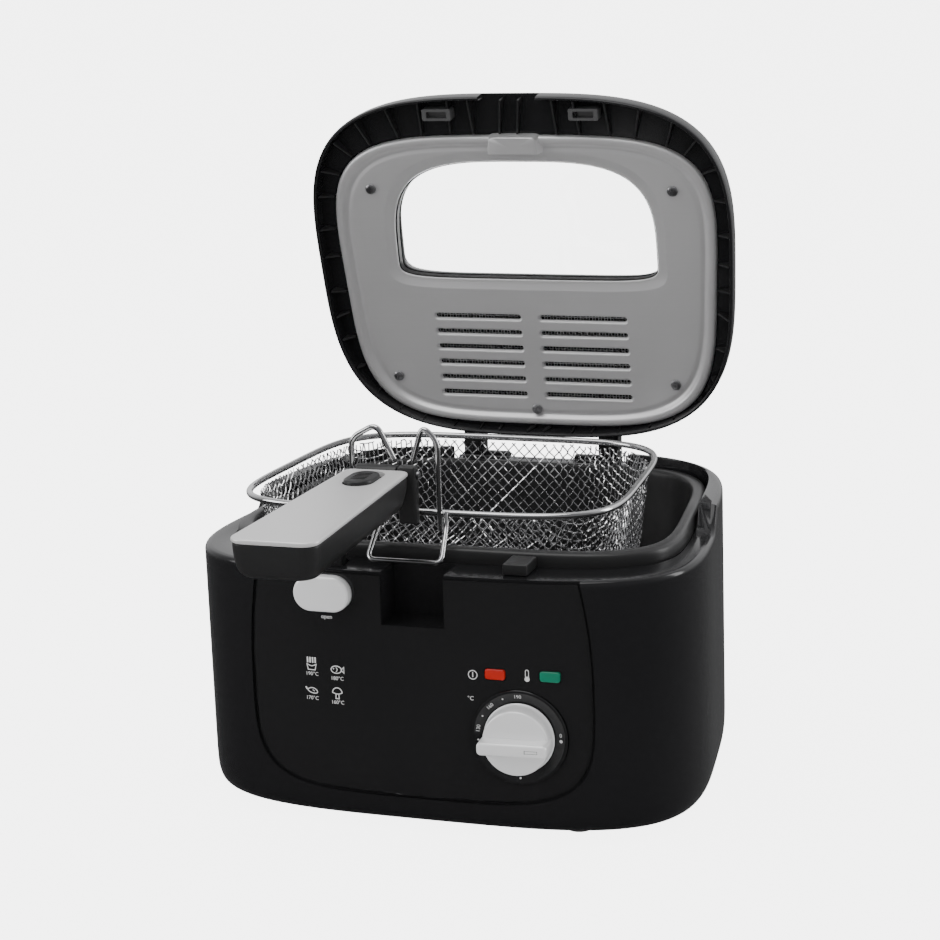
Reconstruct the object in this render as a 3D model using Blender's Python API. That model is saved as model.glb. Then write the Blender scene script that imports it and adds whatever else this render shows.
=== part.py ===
# Deep fryer with a hinged lid, a wire basket and a folding basket handle.
# Lengths below are in millimetres; the scene is in metres. +Z is up, the controls face -Y.
import math
import bmesh
import bpy
from mathutils import Matrix, Vector

MM = 0.001
SEGMENTS = 56
CORNER_WEIGHT = 110.0
SPREAD = {}
GAP = 0.35

# Housing: a rounded, slightly front-heavy shell
BODY_HALF_W = 153.5
BODY_HALF_D = 134.4
BODY_POWER = 3.64
BODY_TAPER = -0.11
BODY_WALL = 4.6
BODY_BOTTOM_Z = 6.0
DECK_Z = 163.7
SHOULDER_Z = 178.0
SHOULDER_START_Y = -6.0
SHOULDER_RUN = 12.0
FOOT_RADIUS = 9.0
FOOT_X = BODY_HALF_W - 63.5
FOOT_Y = BODY_HALF_D - 34.4

# Oil tub
TUB_HALF_W = BODY_HALF_W - 23.7
TUB_HALF_D = BODY_HALF_D - 30.0
TUB_POWER = 4.5
TUB_TAPER = -0.09
TUB_Y = 11.3
TUB_LIP_Z = 171.5
TUB_LIP_W = 8.6
TUB_FLOOR_Z = 66.0
TUB_WALL = 1.6

# Front slot for the handle bracket, front panel and controls
SLOT_HALF_W = 19.8
SLOT_FLOOR_Z = 131.6
SLOT_DEPTH = 25.5
SLOT_WALL = 3.0
PANEL_HALF_W = 107.5
PANEL_TOP_HALF_W = 100.5
PANEL_BOTTOM_Z = 24.5
PANEL_KNEE_Z = 95.0
PANEL_TOP_Z = 161.5
PANEL_THICK = 1.9
PANEL_GROOVE = 1.6
BUTTON_X = -56.0
BUTTON_Z = 149.4
BUTTON_W = 35.5
BUTTON_H = 21.8
BUTTON_PROUD = 6.0
BUTTON_TRAVEL = 4.0
LENS_Z = 105.5
LENS_W = 12.4
LENS_H = 6.4
LENS_RED_X = 50.3
LENS_GREEN_X = 83.4
KNOB_X = 64.0
KNOB_Z = 67.0
KNOB_RADIUS = 20.8
KNOB_HEIGHT = 11.0
KNOB_GRIP_H = 9.5
KNOB_GRIP_W = 8.0
DISH_RADIUS = 29.5

# Lid, given in its own plane: across, up from the base point, and towards the food side
LID_OPEN_DEG = 79.7
LID_BASE_Y = BODY_HALF_D - 0.4
LID_BASE_Z = 156.2
LID_HALF_W = BODY_HALF_W - 10.1
LID_HALF_D = BODY_HALF_D - 15.2
LID_POWER = 3.34
LID_TAPER = 0.04
LID_MID = LID_HALF_D + 35.8
LID_RIM = 10.4
LID_THICK = 38.0
LID_WALL = 3.0
LINER_HALF_W = LID_HALF_W - 13.4
LINER_HALF_D = LID_HALF_D - 16.8
LINER_POWER = 4.14
LINER_TAPER = 0.05
LINER_MID = LINER_HALF_D + 40.9
LINER_FIT = 0.6
LINER_THICK = 1.2
WINDOW_HALF_W = 90.0
WINDOW_LOW = 146.0
WINDOW_HIGH = 226.5
WINDOW_POWER = 3.4
GASKET_W = 4.0
GLASS_THICK = 2.5
GLASS_W = -10.5
VENT_ROWS = 6
VENT_PITCH = 11.2
VENT_TOP = 118.5
VENT_INNER = 6.2
VENT_OUTER = 67.9
VENT_H = 4.4
HINGE_UP = 12.5
HINGE_PIN_R = 3.0
HINGE_KNUCKLE_R = 6.8

# Basket, hung in its draining place
BASKET_X = -14.5
BASKET_Y = TUB_Y - 5.8
BASKET_HALF_W = TUB_HALF_W - 11.3
BASKET_HALF_D = TUB_HALF_D - 4.9
BASKET_POWER = 4.6
BASKET_TAPER = -0.06
BASKET_RIM_Z = 191.2
BASKET_DEPTH = 74.0
BASKET_DRAFT = 13.0
RIM_WIRE_R = 2.1
STAY_WIRE_R = 1.75
HOOK_WIRE_R = 1.6

# Folding handle
HANDLE_X = -28.0
HANDLE_TOP_Z = 220.0
HANDLE_END_W = 52.0
HANDLE_ROOT_W = 41.0
HANDLE_DEPTH = 21.0
PIVOT_Y = BASKET_Y - BASKET_HALF_D - 7.0
HANDLE_ROOT_Y = PIVOT_Y - 6.0
HANDLE_END_Y = PIVOT_Y - 170.0
PIVOT_Z = 216.0
PIVOT_R = 5.4
SLIDER_Y = PIVOT_Y - 30.0
SLIDER_L = 28.0
SLIDER_W = 18.0
PLATE_THICK = 3.0
FOLD_DEG = 30.0

COLORS = {
    "black_gloss": ((0.012, 0.012, 0.013), 0.0, 0.12),
    "black_satin": ((0.016, 0.016, 0.017), 0.0, 0.38),
    "tub_coating": ((0.030, 0.030, 0.032), 0.2, 0.40),
    "aluminium": ((0.62, 0.62, 0.63), 1.0, 0.36),
    "chrome": ((0.75, 0.75, 0.76), 1.0, 0.12),
    "silver_plastic": ((0.60, 0.60, 0.61), 0.4, 0.32),
    "grey_plastic": ((0.42, 0.42, 0.43), 0.0, 0.45),
    "red_lens": ((0.60, 0.03, 0.02), 0.0, 0.15),
    "green_lens": ((0.02, 0.40, 0.25), 0.0, 0.15),
    "glass": ((0.85, 0.90, 0.90), 0.0, 0.03),
    "rubber": ((0.02, 0.02, 0.02), 0.0, 0.75),
    "steel": ((0.45, 0.45, 0.46), 1.0, 0.35),
}

for leftover in list(bpy.data.objects):
    bpy.data.objects.remove(leftover, do_unlink=True)


def material_for(slot):
    found = bpy.data.materials.get(slot)
    if found:
        return found
    color, metallic, roughness = COLORS[slot]
    made = bpy.data.materials.new(slot)
    made.use_nodes = True
    shader = made.node_tree.nodes["Principled BSDF"]
    shader.inputs["Base Color"].default_value = (*color, 1.0)
    shader.inputs["Metallic"].default_value = metallic
    shader.inputs["Roughness"].default_value = roughness
    if slot == "glass":
        shader.inputs["Alpha"].default_value = 0.35
    return made


def add_object(name, bm, slot=None, smooth=True, angle=32.0):
    bmesh.ops.remove_doubles(bm, verts=bm.verts, dist=0.001 * MM)
    bmesh.ops.recalc_face_normals(bm, faces=bm.faces)
    mesh = bpy.data.meshes.new(name)
    bm.to_mesh(mesh)
    bm.free()
    obj = bpy.data.objects.new(name, mesh)
    bpy.context.scene.collection.objects.link(obj)
    finish_mesh(obj, slot, smooth, angle)
    return obj


def finish_mesh(obj, slot=None, smooth=True, angle=32.0):
    mesh = obj.data
    mesh.polygons.foreach_set("use_smooth", [smooth] * len(mesh.polygons))
    if smooth:
        mesh.set_sharp_from_angle(angle=math.radians(angle))
    if slot:
        mesh.materials.clear()
        mesh.materials.append(material_for(slot))


def combine(target, tools, operation):
    for tool in tools:
        mod = target.modifiers.new("solid", "BOOLEAN")
        mod.operation = operation
        mod.solver = "EXACT"
        mod.object = tool
    graph = bpy.context.evaluated_depsgraph_get()
    graph.update()
    baked = bpy.data.meshes.new_from_object(target.evaluated_get(graph))
    target.modifiers.clear()
    keep = target.data.materials[0] if target.data.materials else None
    target.data = baked
    baked.materials.clear()
    if keep:
        baked.materials.append(keep)
    baked.polygons.foreach_set("material_index", [0] * len(baked.polygons))
    for tool in tools:
        bpy.data.objects.remove(tool, do_unlink=True)
    finish_mesh(target)
    return target


def cut(target, *tools):
    return combine(target, tools, "DIFFERENCE")


def join(target, *tools):
    return combine(target, tools, "UNION")


def signed_power(value, power):
    return math.copysign(abs(value) ** power, value)


def outline(half_w, half_d, power, taper, x0=0.0, y0=0.0, count=SEGMENTS):
    points = []
    for t in SPREAD[count] if count in SPREAD else spread_angles(count):
        x = half_w * signed_power(math.cos(t), 2.0 / power)
        y = half_d * signed_power(math.sin(t), 2.0 / power)
        points.append((x0 + x * (1.0 + taper * y / half_d), y0 + y))
    return points


def spread_angles(count):
    """Angles that put more points on the corners, and some beside the step in the housing's rim."""
    fine = [2.0 * math.pi * (i + 0.5) / 1440 for i in range(1441)]
    spots = []
    for t in fine:
        x = BODY_HALF_W * signed_power(math.cos(t), 2.0 / BODY_POWER)
        y = BODY_HALF_D * signed_power(math.sin(t), 2.0 / BODY_POWER)
        spots.append(Vector((x, y)))
    sums = [0.0]
    for i in range(1440):
        step = spots[i + 1] - spots[i]
        after = spots[(i + 2) % 1440] - spots[(i + 1) % 1440]
        turn = step.angle(after, 0.0)
        near = abs(spots[i].y - SHOULDER_START_Y - SHOULDER_RUN / 2.0) < SHOULDER_RUN
        sums.append(sums[-1] + step.length * (3.0 if near else 1.0) + CORNER_WEIGHT * turn)
    angles = []
    k = 0
    for i in range(count):
        goal = sums[-1] * (i + 0.5) / count
        while sums[k + 1] < goal:
            k += 1
        share = (goal - sums[k]) / (sums[k + 1] - sums[k])
        angles.append(fine[k] + (fine[k + 1] - fine[k]) * share)
    SPREAD[count] = angles
    return angles


def loft(name, rings, slot=None, closed=False, angle=32.0):
    bm = bmesh.new()
    rows = [[bm.verts.new(Vector(p) * MM) for p in ring] for ring in rings]
    count = len(rows[0])
    pairs = list(zip(rows, rows[1:]))
    if closed:
        pairs.append((rows[-1], rows[0]))
    for low, high in pairs:
        for i in range(count):
            j = (i + 1) % count
            bm.faces.new((low[i], low[j], high[j], high[i]))
    if not closed:
        for row in (rows[0], rows[-1]):
            middle = sum((v.co for v in row), Vector()) / count
            hub = bm.verts.new(middle)
            for i in range(count):
                bm.faces.new((row[i], row[(i + 1) % count], hub))
    return add_object(name, bm, slot, True, angle)


def box(name, low, high, slot=None, bevel=0.0):
    bm = bmesh.new()
    bmesh.ops.create_cube(bm, size=1.0)
    for v in bm.verts:
        for k in range(3):
            v.co[k] = (low[k] if v.co[k] < 0 else high[k]) * MM
    if bevel:
        bmesh.ops.bevel(bm, geom=bm.edges, offset=bevel * MM, segments=2, profile=0.5, affect="EDGES")
    return add_object(name, bm, slot, bevel > 0, 50.0)


def prism(name, profile, low, high, place, slot=None, bevel=0.0):
    """Extrudes a closed profile between two heights; place maps (a, b, height) to a point in mm."""
    steps = [(low, 0.0), (high, 0.0)]
    if bevel:
        steps = [(low, 0.0), (high - bevel, 0.0), (high - 0.3 * bevel, 0.3 * bevel), (high, bevel)]
    rings = []
    for height, inset in steps:
        rings.append([place(a, b, height) for a, b in inset_profile(profile, inset)])
    return loft(name, rings, slot)


def inset_profile(profile, inset):
    if inset == 0.0:
        return profile
    count = len(profile)
    moved = []
    for i in range(count):
        a = Vector(profile[i - 1])
        b = Vector(profile[(i + 1) % count])
        along = (b - a).normalized()
        moved.append((profile[i][0] - along.y * inset, profile[i][1] + along.x * inset))
    return moved


def stadium(width, height, a0=0.0, b0=0.0, steps=8):
    radius = height / 2.0
    reach = width / 2.0 - radius
    points = []
    for side, start in ((1.0, -90.0), (-1.0, 90.0)):
        for i in range(steps + 1):
            t = math.radians(start + 180.0 * i / steps)
            points.append((a0 + side * reach + radius * math.cos(t), b0 + radius * math.sin(t)))
    return points


def rounded_rect(width, height, radius, a0=0.0, b0=0.0, steps=3):
    points = []
    corners = ((1, -1, -90.0), (1, 1, 0.0), (-1, 1, 90.0), (-1, -1, 180.0))
    for sa, sb, start in corners:
        for i in range(steps + 1):
            t = math.radians(start + 90.0 * i / steps)
            a = a0 + sa * (width / 2.0 - radius) + radius * math.cos(t)
            b = b0 + sb * (height / 2.0 - radius) + radius * math.sin(t)
            points.append((a, b))
    return points


def disc(radius, a0=0.0, b0=0.0, steps=32):
    points = []
    for i in range(steps):
        t = 2.0 * math.pi * i / steps
        points.append((a0 + radius * math.cos(t), b0 + radius * math.sin(t)))
    return points


def rounded_path(points, radius, steps=4, closed=False):
    spots = [Vector(p) for p in points]
    count = len(spots)
    path = []
    for i in range(count):
        if not closed and i in (0, count - 1):
            path.append(spots[i])
            continue
        here = spots[i]
        before = spots[i - 1] - here
        after = spots[(i + 1) % count] - here
        reach = min(radius, before.length * 0.45, after.length * 0.45)
        start = here + before.normalized() * reach
        end = here + after.normalized() * reach
        for k in range(steps + 1):
            t = k / steps
            path.append(start * (1 - t) ** 2 + here * 2 * t * (1 - t) + end * t ** 2)
    return path


def wire(name, path, radius, slot, closed=False, sides=7):
    count = len(path)
    rings = []
    side = None
    for i in range(count):
        if closed:
            along = (path[(i + 1) % count] - path[i - 1]).normalized()
        else:
            along = (path[min(i + 1, count - 1)] - path[max(i - 1, 0)]).normalized()
        if side is None:
            pick = Vector((0, 0, 1)) if abs(along.z) < 0.9 else Vector((0, 1, 0))
            side = along.cross(pick).normalized()
        side = (side - along * side.dot(along)).normalized()
        other = along.cross(side)
        ring = []
        for k in range(sides):
            t = 2.0 * math.pi * k / sides
            ring.append(path[i] + side * radius * math.cos(t) + other * radius * math.sin(t))
        rings.append(ring)
    return loft(name, rings, slot, closed=closed, angle=60.0)


def upright(a, b, height):
    return (a, b, height)


def facing(a, b, height):
    """Profiles across X and Z, pushed out towards -Y by their height."""
    return (a, -height, b)


def lengthwise(a, b, height):
    """Profiles across Y and Z, extruded along X."""
    return (height, a, b)


# Housing ---------------------------------------------------------------------------------------

def body_ring(inset, z):
    half_w = BODY_HALF_W - inset
    half_d = BODY_HALF_D - inset
    return [(x, y, z) for x, y in outline(half_w, half_d, BODY_POWER, BODY_TAPER)]


def deck_height(y):
    t = min(1.0, max(0.0, (y - SHOULDER_START_Y) / SHOULDER_RUN))
    return DECK_Z + (SHOULDER_Z - DECK_Z) * t * t * (3.0 - 2.0 * t)


def deck_ring(inset, drop):
    half_w = BODY_HALF_W - inset
    half_d = BODY_HALF_D - inset
    ring = outline(half_w, half_d, BODY_POWER, BODY_TAPER)
    return [(x, y, deck_height(y) - drop) for x, y in ring]


def tub_ring(grow, z):
    half_w = TUB_HALF_W + grow
    half_d = TUB_HALF_D + grow
    return [(x, y, z) for x, y in outline(half_w, half_d, TUB_POWER, TUB_TAPER, 0.0, TUB_Y)]


def tub_deck_ring(grow, drop):
    return [(x, y, deck_height(y) - drop) for x, y, z in tub_ring(grow, 0.0)]


def front_y(x, inset=0.0):
    half_w = BODY_HALF_W - inset
    half_d = BODY_HALF_D - inset
    y = -half_d
    for _ in range(8):
        reach = half_w * (1.0 + BODY_TAPER * y / half_d)
        share = min(1.0, abs(x) / reach)
        y = -half_d * (1.0 - share ** BODY_POWER) ** (1.0 / BODY_POWER)
    return y


WELL = TUB_LIP_W + 1.6
SEAT_Z = 162.4
housing = loft("housing", [
    body_ring(15.0, BODY_BOTTOM_Z),
    body_ring(9.0, BODY_BOTTOM_Z + 0.3),
    body_ring(4.2, BODY_BOTTOM_Z + 2.2),
    body_ring(1.6, BODY_BOTTOM_Z + 6.0),
    body_ring(0.4, BODY_BOTTOM_Z + 12.0),
    body_ring(0.0, BODY_BOTTOM_Z + 20.0),
    body_ring(0.0, 60.0),
    body_ring(0.0, 110.0),
    deck_ring(0.0, 3.0),
    deck_ring(0.6, 1.2),
    deck_ring(1.6, 0.3),
    deck_ring(3.0, 0.0),
    tub_deck_ring(WELL, 0.0),
    tub_ring(WELL, SEAT_Z),
    tub_ring(3.4, SEAT_Z),
    tub_ring(3.4, SEAT_Z - 3.0),
    body_ring(BODY_WALL + 1.0, SEAT_Z - 6.0),
    body_ring(BODY_WALL, 110.0),
    body_ring(BODY_WALL, BODY_BOTTOM_Z + 22.0),
    body_ring(BODY_WALL + 2.5, BODY_BOTTOM_Z + 9.0),
    body_ring(15.0, BODY_BOTTOM_Z + 4.0),
], "black_gloss", closed=True)


def panel_half_width(z, grow):
    if z >= PANEL_KNEE_Z:
        t = (z - PANEL_KNEE_Z) / (PANEL_TOP_Z - PANEL_KNEE_Z)
        return PANEL_HALF_W + grow + (PANEL_TOP_HALF_W - PANEL_HALF_W) * t * t
    share = min(1.0, (PANEL_KNEE_Z - z) / (PANEL_KNEE_Z - PANEL_BOTTOM_Z + grow))
    return (PANEL_HALF_W + grow) * (1.0 - share ** 4.4) ** (1.0 / 4.4)


def panel_plate(name, grow, top_z, back, front, slot=None, edge=0.0):
    """A plate that follows the housing's front; back and front are insets from its surface."""
    rows = []
    low_z = PANEL_BOTTOM_Z - grow
    span = PANEL_KNEE_Z - low_z
    heights = [PANEL_KNEE_Z - span * math.sin(math.radians(90.0 - 11.25 * k)) for k in range(8)]
    heights[0] = low_z + 0.02
    heights += [PANEL_KNEE_Z + (top_z - PANEL_KNEE_Z) * k / 3.0 for k in range(4)]
    columns = 18
    bm = bmesh.new()
    layers = []
    for inset, shrink in ((back, 0.0), (front + edge, 0.0), (front, edge)):
        rows = []
        for z in heights:
            half = panel_half_width(z, grow)
            half = max(half - shrink, half * 0.5)
            lift = shrink if z == heights[0] else 0.0
            row = []
            for c in range(columns + 1):
                x = half * math.sin(math.radians(-90.0 + 180.0 * c / columns))
                row.append(bm.verts.new(Vector((x, front_y(x, inset), z + lift)) * MM))
            rows.append(row)
        layers.append(rows)
    back_rows, mid_rows, front_rows = layers
    last = len(heights) - 1
    for rows in (back_rows, front_rows):
        for r in range(last):
            for c in range(columns):
                bm.faces.new((rows[r][c], rows[r][c + 1], rows[r + 1][c + 1], rows[r + 1][c]))
    for inner, outer in ((back_rows, mid_rows), (mid_rows, front_rows)):
        for r in range(last):
            for c in (0, columns):
                bm.faces.new((inner[r][c], inner[r + 1][c], outer[r + 1][c], outer[r][c]))
        for r in (0, last):
            for c in range(columns):
                bm.faces.new((inner[r][c], inner[r][c + 1], outer[r][c + 1], outer[r][c]))
    return add_object(name, bm, slot, True, 40.0)


slot_back_y = -BODY_HALF_D + SLOT_DEPTH
slot_block = box(
    "slot_block",
    (-SLOT_HALF_W - SLOT_WALL, -BODY_HALF_D + 2.0, SLOT_FLOOR_Z - SLOT_WALL),
    (SLOT_HALF_W + SLOT_WALL, slot_back_y + SLOT_WALL, DECK_Z - 1.0),
)
slot_cut = box(
    "slot_cut",
    (-SLOT_HALF_W, -BODY_HALF_D - 10.0, SLOT_FLOOR_Z),
    (SLOT_HALF_W, slot_back_y, DECK_Z + 20.0),
)
hinge_y = LID_BASE_Y - HINGE_UP * math.cos(math.radians(LID_OPEN_DEG))
hinge_z = LID_BASE_Z + HINGE_UP * math.sin(math.radians(LID_OPEN_DEG))
HINGE_BAY = 64.0
hinge_bay = box(
    "hinge_bay",
    (-HINGE_BAY, TUB_Y + TUB_HALF_D + WELL - 1.0, SEAT_Z - 4.0),
    (HINGE_BAY, BODY_HALF_D + 20.0, SHOULDER_Z + 20.0),
)
join(housing, slot_block)
cut(housing, slot_cut, panel_plate("panel_seat", PANEL_GROOVE, DECK_Z + 8.0, 2.3, -6.0))
cut(housing, hinge_bay)
knuckles = []
for side in (-1.0, 1.0):
    low_x, high_x = sorted((side * 24.0, side * 40.0))
    barrel = prism("knuckle", disc(HINGE_KNUCKLE_R, hinge_y, hinge_z, 18), low_x, high_x, lengthwise)
    stand = box(
        "stand",
        (low_x, hinge_y - 3.0, SEAT_Z - 8.0),
        (high_x, hinge_y + 2.0, hinge_z),
    )
    knuckles += [barrel, stand]
join(housing, *knuckles)
pin_bore = disc(HINGE_PIN_R + GAP, hinge_y, hinge_z, 24)
cut(housing, prism("bore", pin_bore, -62.0, 62.0, lengthwise))
prism("hinge_pin", disc(HINGE_PIN_R, hinge_y, hinge_z, 24), -60.0, 60.0, lengthwise, "steel")

# Openings for the button, the lamps and the knob's shaft
KNOB_TURN = math.atan2(front_y(KNOB_X + 2.0) - front_y(KNOB_X - 2.0), 4.0)
knob_front = front_y(KNOB_X) + 0.2
knob_place = Matrix.Translation(Vector((KNOB_X, knob_front, KNOB_Z)) * MM)
knob_frame = knob_place @ Matrix.Rotation(KNOB_TURN, 4, "Z")


def on_knob_axis(obj):
    obj.data.transform(knob_frame)
    return obj


def control_cuts():
    tools = []
    opening = stadium(BUTTON_W + 1.0, BUTTON_H + 1.0, BUTTON_X, BUTTON_Z)
    tools.append(prism("cut_button", opening, 100.0, 150.0, facing))
    for x in (LENS_RED_X, LENS_GREEN_X):
        window = rounded_rect(LENS_W + 0.7, LENS_H + 0.7, 1.6, x, LENS_Z)
        tools.append(prism("cut_lens", window, 100.0, 150.0, facing))
    tools.append(on_knob_axis(prism("cut_shaft", disc(4.0, steps=24), -30.0, 30.0, facing)))
    return tools


cut(housing, *control_cuts())
panel_back = 2.3 - GAP
front_panel = panel_plate(
    "front_panel", 0.0, PANEL_TOP_Z, panel_back, panel_back - PANEL_THICK, "black_gloss", 0.7
)
cut(front_panel, box(
    "panel_notch",
    (-SLOT_HALF_W - 0.2, -200.0, SLOT_FLOOR_Z - 0.2),
    (SLOT_HALF_W + 0.2, 0.0, 250.0),
))
cut(front_panel, *control_cuts())
cut(front_panel, on_knob_axis(prism("cut_dish", disc(DISH_RADIUS + GAP), -30.0, 30.0, facing)))

# Base, feet and cord gland
base_outline = outline(BODY_HALF_W - 15.6, BODY_HALF_D - 15.6, BODY_POWER, BODY_TAPER)
prism("base_plate", base_outline, BODY_BOTTOM_Z - 0.4, BODY_BOTTOM_Z + 2.6, upright, "black_satin")
FEET = {
    "foot_front_left": (-FOOT_X, -FOOT_Y),
    "foot_front_right": (FOOT_X, -FOOT_Y),
    "foot_rear_left": (-FOOT_X, FOOT_Y),
    "foot_rear_right": (FOOT_X, FOOT_Y),
}
for foot_name, (foot_x, foot_y) in FEET.items():
    foot_shape = disc(FOOT_RADIUS, foot_x, foot_y, 24)
    prism(foot_name, foot_shape, 0.0, BODY_BOTTOM_Z - 0.4 - GAP, upright, "rubber")
GLAND_X = 72.0
GLAND_Z = 34.0
GLAND_R = 6.5
gland_start = -front_y(GLAND_X) - 8.0
gland_hole = prism("gland_hole", disc(GLAND_R + GAP, GLAND_X, GLAND_Z, 18), -170.0, -100.0, facing)
cut(housing, gland_hole)
gland_shape = disc(GLAND_R, GLAND_X, GLAND_Z, 18)
prism("cord_gland", gland_shape, -(BODY_HALF_D + 9.0), -gland_start, facing, "rubber", 0.8)

# Oil tub with a rolled lip, and the heater under its floor
lip = TUB_LIP_W
oil_tub = loft("oil_tub", [
    tub_ring(-40.0, TUB_FLOOR_Z),
    tub_ring(-24.0, TUB_FLOOR_Z + 0.5),
    tub_ring(-16.0, TUB_FLOOR_Z + 4.0),
    tub_ring(-11.0, TUB_FLOOR_Z + 14.0),
    tub_ring(-6.0, 115.0),
    tub_ring(-0.6, TUB_LIP_Z - 4.0),
    tub_ring(0.0, TUB_LIP_Z - 0.8),
    tub_ring(1.4, TUB_LIP_Z + 0.4),
    tub_ring(lip - 2.6, TUB_LIP_Z + 0.2),
    tub_ring(lip - 0.6, TUB_LIP_Z - 1.4),
    tub_ring(lip, TUB_LIP_Z - 4.0),
    tub_ring(lip, SEAT_Z + GAP),
    tub_ring(lip - 1.6, SEAT_Z + GAP),
    tub_ring(lip - 2.0, TUB_LIP_Z - 3.4),
    tub_ring(TUB_WALL + 0.6, TUB_LIP_Z - 3.2),
    tub_ring(TUB_WALL - 0.8, TUB_LIP_Z - 6.0),
    tub_ring(TUB_WALL - 6.0, 115.0),
    tub_ring(TUB_WALL - 11.0, TUB_FLOOR_Z + 13.5),
    tub_ring(TUB_WALL - 16.2, TUB_FLOOR_Z + 2.0),
    tub_ring(TUB_WALL - 25.0, TUB_FLOOR_Z - TUB_WALL),
    tub_ring(-41.0, TUB_FLOOR_Z - TUB_WALL),
], "tub_coating")
heater_path = [Vector(p) for p in tub_ring(-52.0, TUB_FLOOR_Z - TUB_WALL - 4.6)][::2]
wire("heating_element", heater_path, 4.0, "steel", closed=True, sides=6)
box(
    "thermostat",
    (KNOB_X - 16.0, -BODY_HALF_D + 16.4, KNOB_Z - 14.0),
    (KNOB_X + 16.0, -BODY_HALF_D + 38.4, KNOB_Z + 14.0),
    "black_satin", 1.5,
)
box(
    "terminal_block",
    (40.0, BODY_HALF_D - 30.4, 24.0),
    (64.0, BODY_HALF_D - 16.4, 44.0),
    "grey_plastic", 1.2,
)

# Lamps, knob, dish, button and latch
for lens_name, lens_x, lens_slot in (
    ("lens_red", LENS_RED_X, "red_lens"),
    ("lens_green", LENS_GREEN_X, "green_lens"),
):
    face = -front_y(lens_x) + 0.6
    prism(lens_name, rounded_rect(LENS_W, LENS_H, 1.3, lens_x, LENS_Z), face - 9.0, face, facing, lens_slot, 0.5)

dish = loft("knob_dish", [
    [(x, -h, z) for x, z in disc(r)] for r, h in (
        (4.2, -1.7), (DISH_RADIUS - 1.0, -1.7), (DISH_RADIUS, -0.8), (DISH_RADIUS, 0.4),
        (DISH_RADIUS - 1.2, 0.9), (DISH_RADIUS - 2.6, 0.4), (KNOB_RADIUS + 2.0, -0.9), (4.2, -0.9),
    )
], "black_gloss", closed=True)
on_knob_axis(dish)

knob = loft("control_knob", [
    [(x, -h, z) for x, z in disc(r)] for r, h in (
        (3.0, -13.0), (3.0, -0.4), (KNOB_RADIUS + 0.8, -0.4), (KNOB_RADIUS + 0.8, 1.0),
        (KNOB_RADIUS, 1.4), (KNOB_RADIUS - 0.4, KNOB_HEIGHT - 1.2), (KNOB_RADIUS - 1.4, KNOB_HEIGHT),
    )
], "silver_plastic")
grip = prism(
    "grip",
    rounded_rect(2.0 * KNOB_RADIUS + 1.0, KNOB_GRIP_W, 2.0, 0.0, -1.0),
    2.0, KNOB_HEIGHT + KNOB_GRIP_H, facing, None, 1.0,
)
join(knob, grip)
on_knob_axis(knob)

button_face = -front_y(BUTTON_X) + BUTTON_PROUD
button = prism(
    "open_button", stadium(BUTTON_W, BUTTON_H, BUTTON_X, BUTTON_Z),
    button_face - 15.0, button_face, facing, "silver_plastic", 1.2,
)
LATCH_W = 15.0
LATCH_Y = -BODY_HALF_D + 14.4
cut(housing, box(
    "latch_gap",
    (BUTTON_X - LATCH_W / 2 + 1.0 - 0.6, LATCH_Y - 5.6, DECK_Z - 12.0),
    (BUTTON_X + LATCH_W / 2 + 1.0 + 0.6, LATCH_Y + 5.6 + BUTTON_TRAVEL, DECK_Z + 10.0),
))
box(
    "latch_hook",
    (BUTTON_X - LATCH_W / 2 + 1.0, LATCH_Y - 5.0, DECK_Z - 1.4),
    (BUTTON_X + LATCH_W / 2 + 1.0, LATCH_Y + 5.0, DECK_Z + 7.0),
    "black_satin", 1.0,
)
box(
    "lid_rest",
    (54.0, LATCH_Y - 5.0, DECK_Z + GAP),
    (69.0, LATCH_Y + 15.5, DECK_Z + 7.0),
    "black_satin", 1.0,
)

# Lid -------------------------------------------------------------------------------------------

lid_cos = math.cos(math.radians(LID_OPEN_DEG))
lid_sin = math.sin(math.radians(LID_OPEN_DEG))


def on_lid(u, v, w):
    y = LID_BASE_Y - v * lid_cos - w * lid_sin
    z = LID_BASE_Z + v * lid_sin - w * lid_cos
    return (u, y, z)


def lid_ring(inset, w):
    ring = outline(LID_HALF_W - inset, LID_HALF_D - inset, LID_POWER, LID_TAPER, 0.0, LID_MID)
    return [on_lid(u, v, w) for u, v in ring]


def liner_ring(inset, w):
    ring = outline(LINER_HALF_W - inset, LINER_HALF_D - inset, LINER_POWER, LINER_TAPER, 0.0, LINER_MID)
    return [on_lid(u, v, w) for u, v in ring]


def window_profile(grow, count=32):
    points = []
    middle = WINDOW_LOW + 16.0
    for i in range(count):
        t = 2.0 * math.pi * (i + 0.5) / count
        c, s = math.cos(t), math.sin(t)
        power = WINDOW_POWER if s > 0 else 6.0
        reach = (WINDOW_HIGH - middle if s > 0 else middle - WINDOW_LOW) + grow
        u = (WINDOW_HALF_W + grow) * signed_power(c, 2.0 / power)
        v = middle + reach * signed_power(s, 2.0 / power)
        points.append((u, v))
    return points


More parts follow.
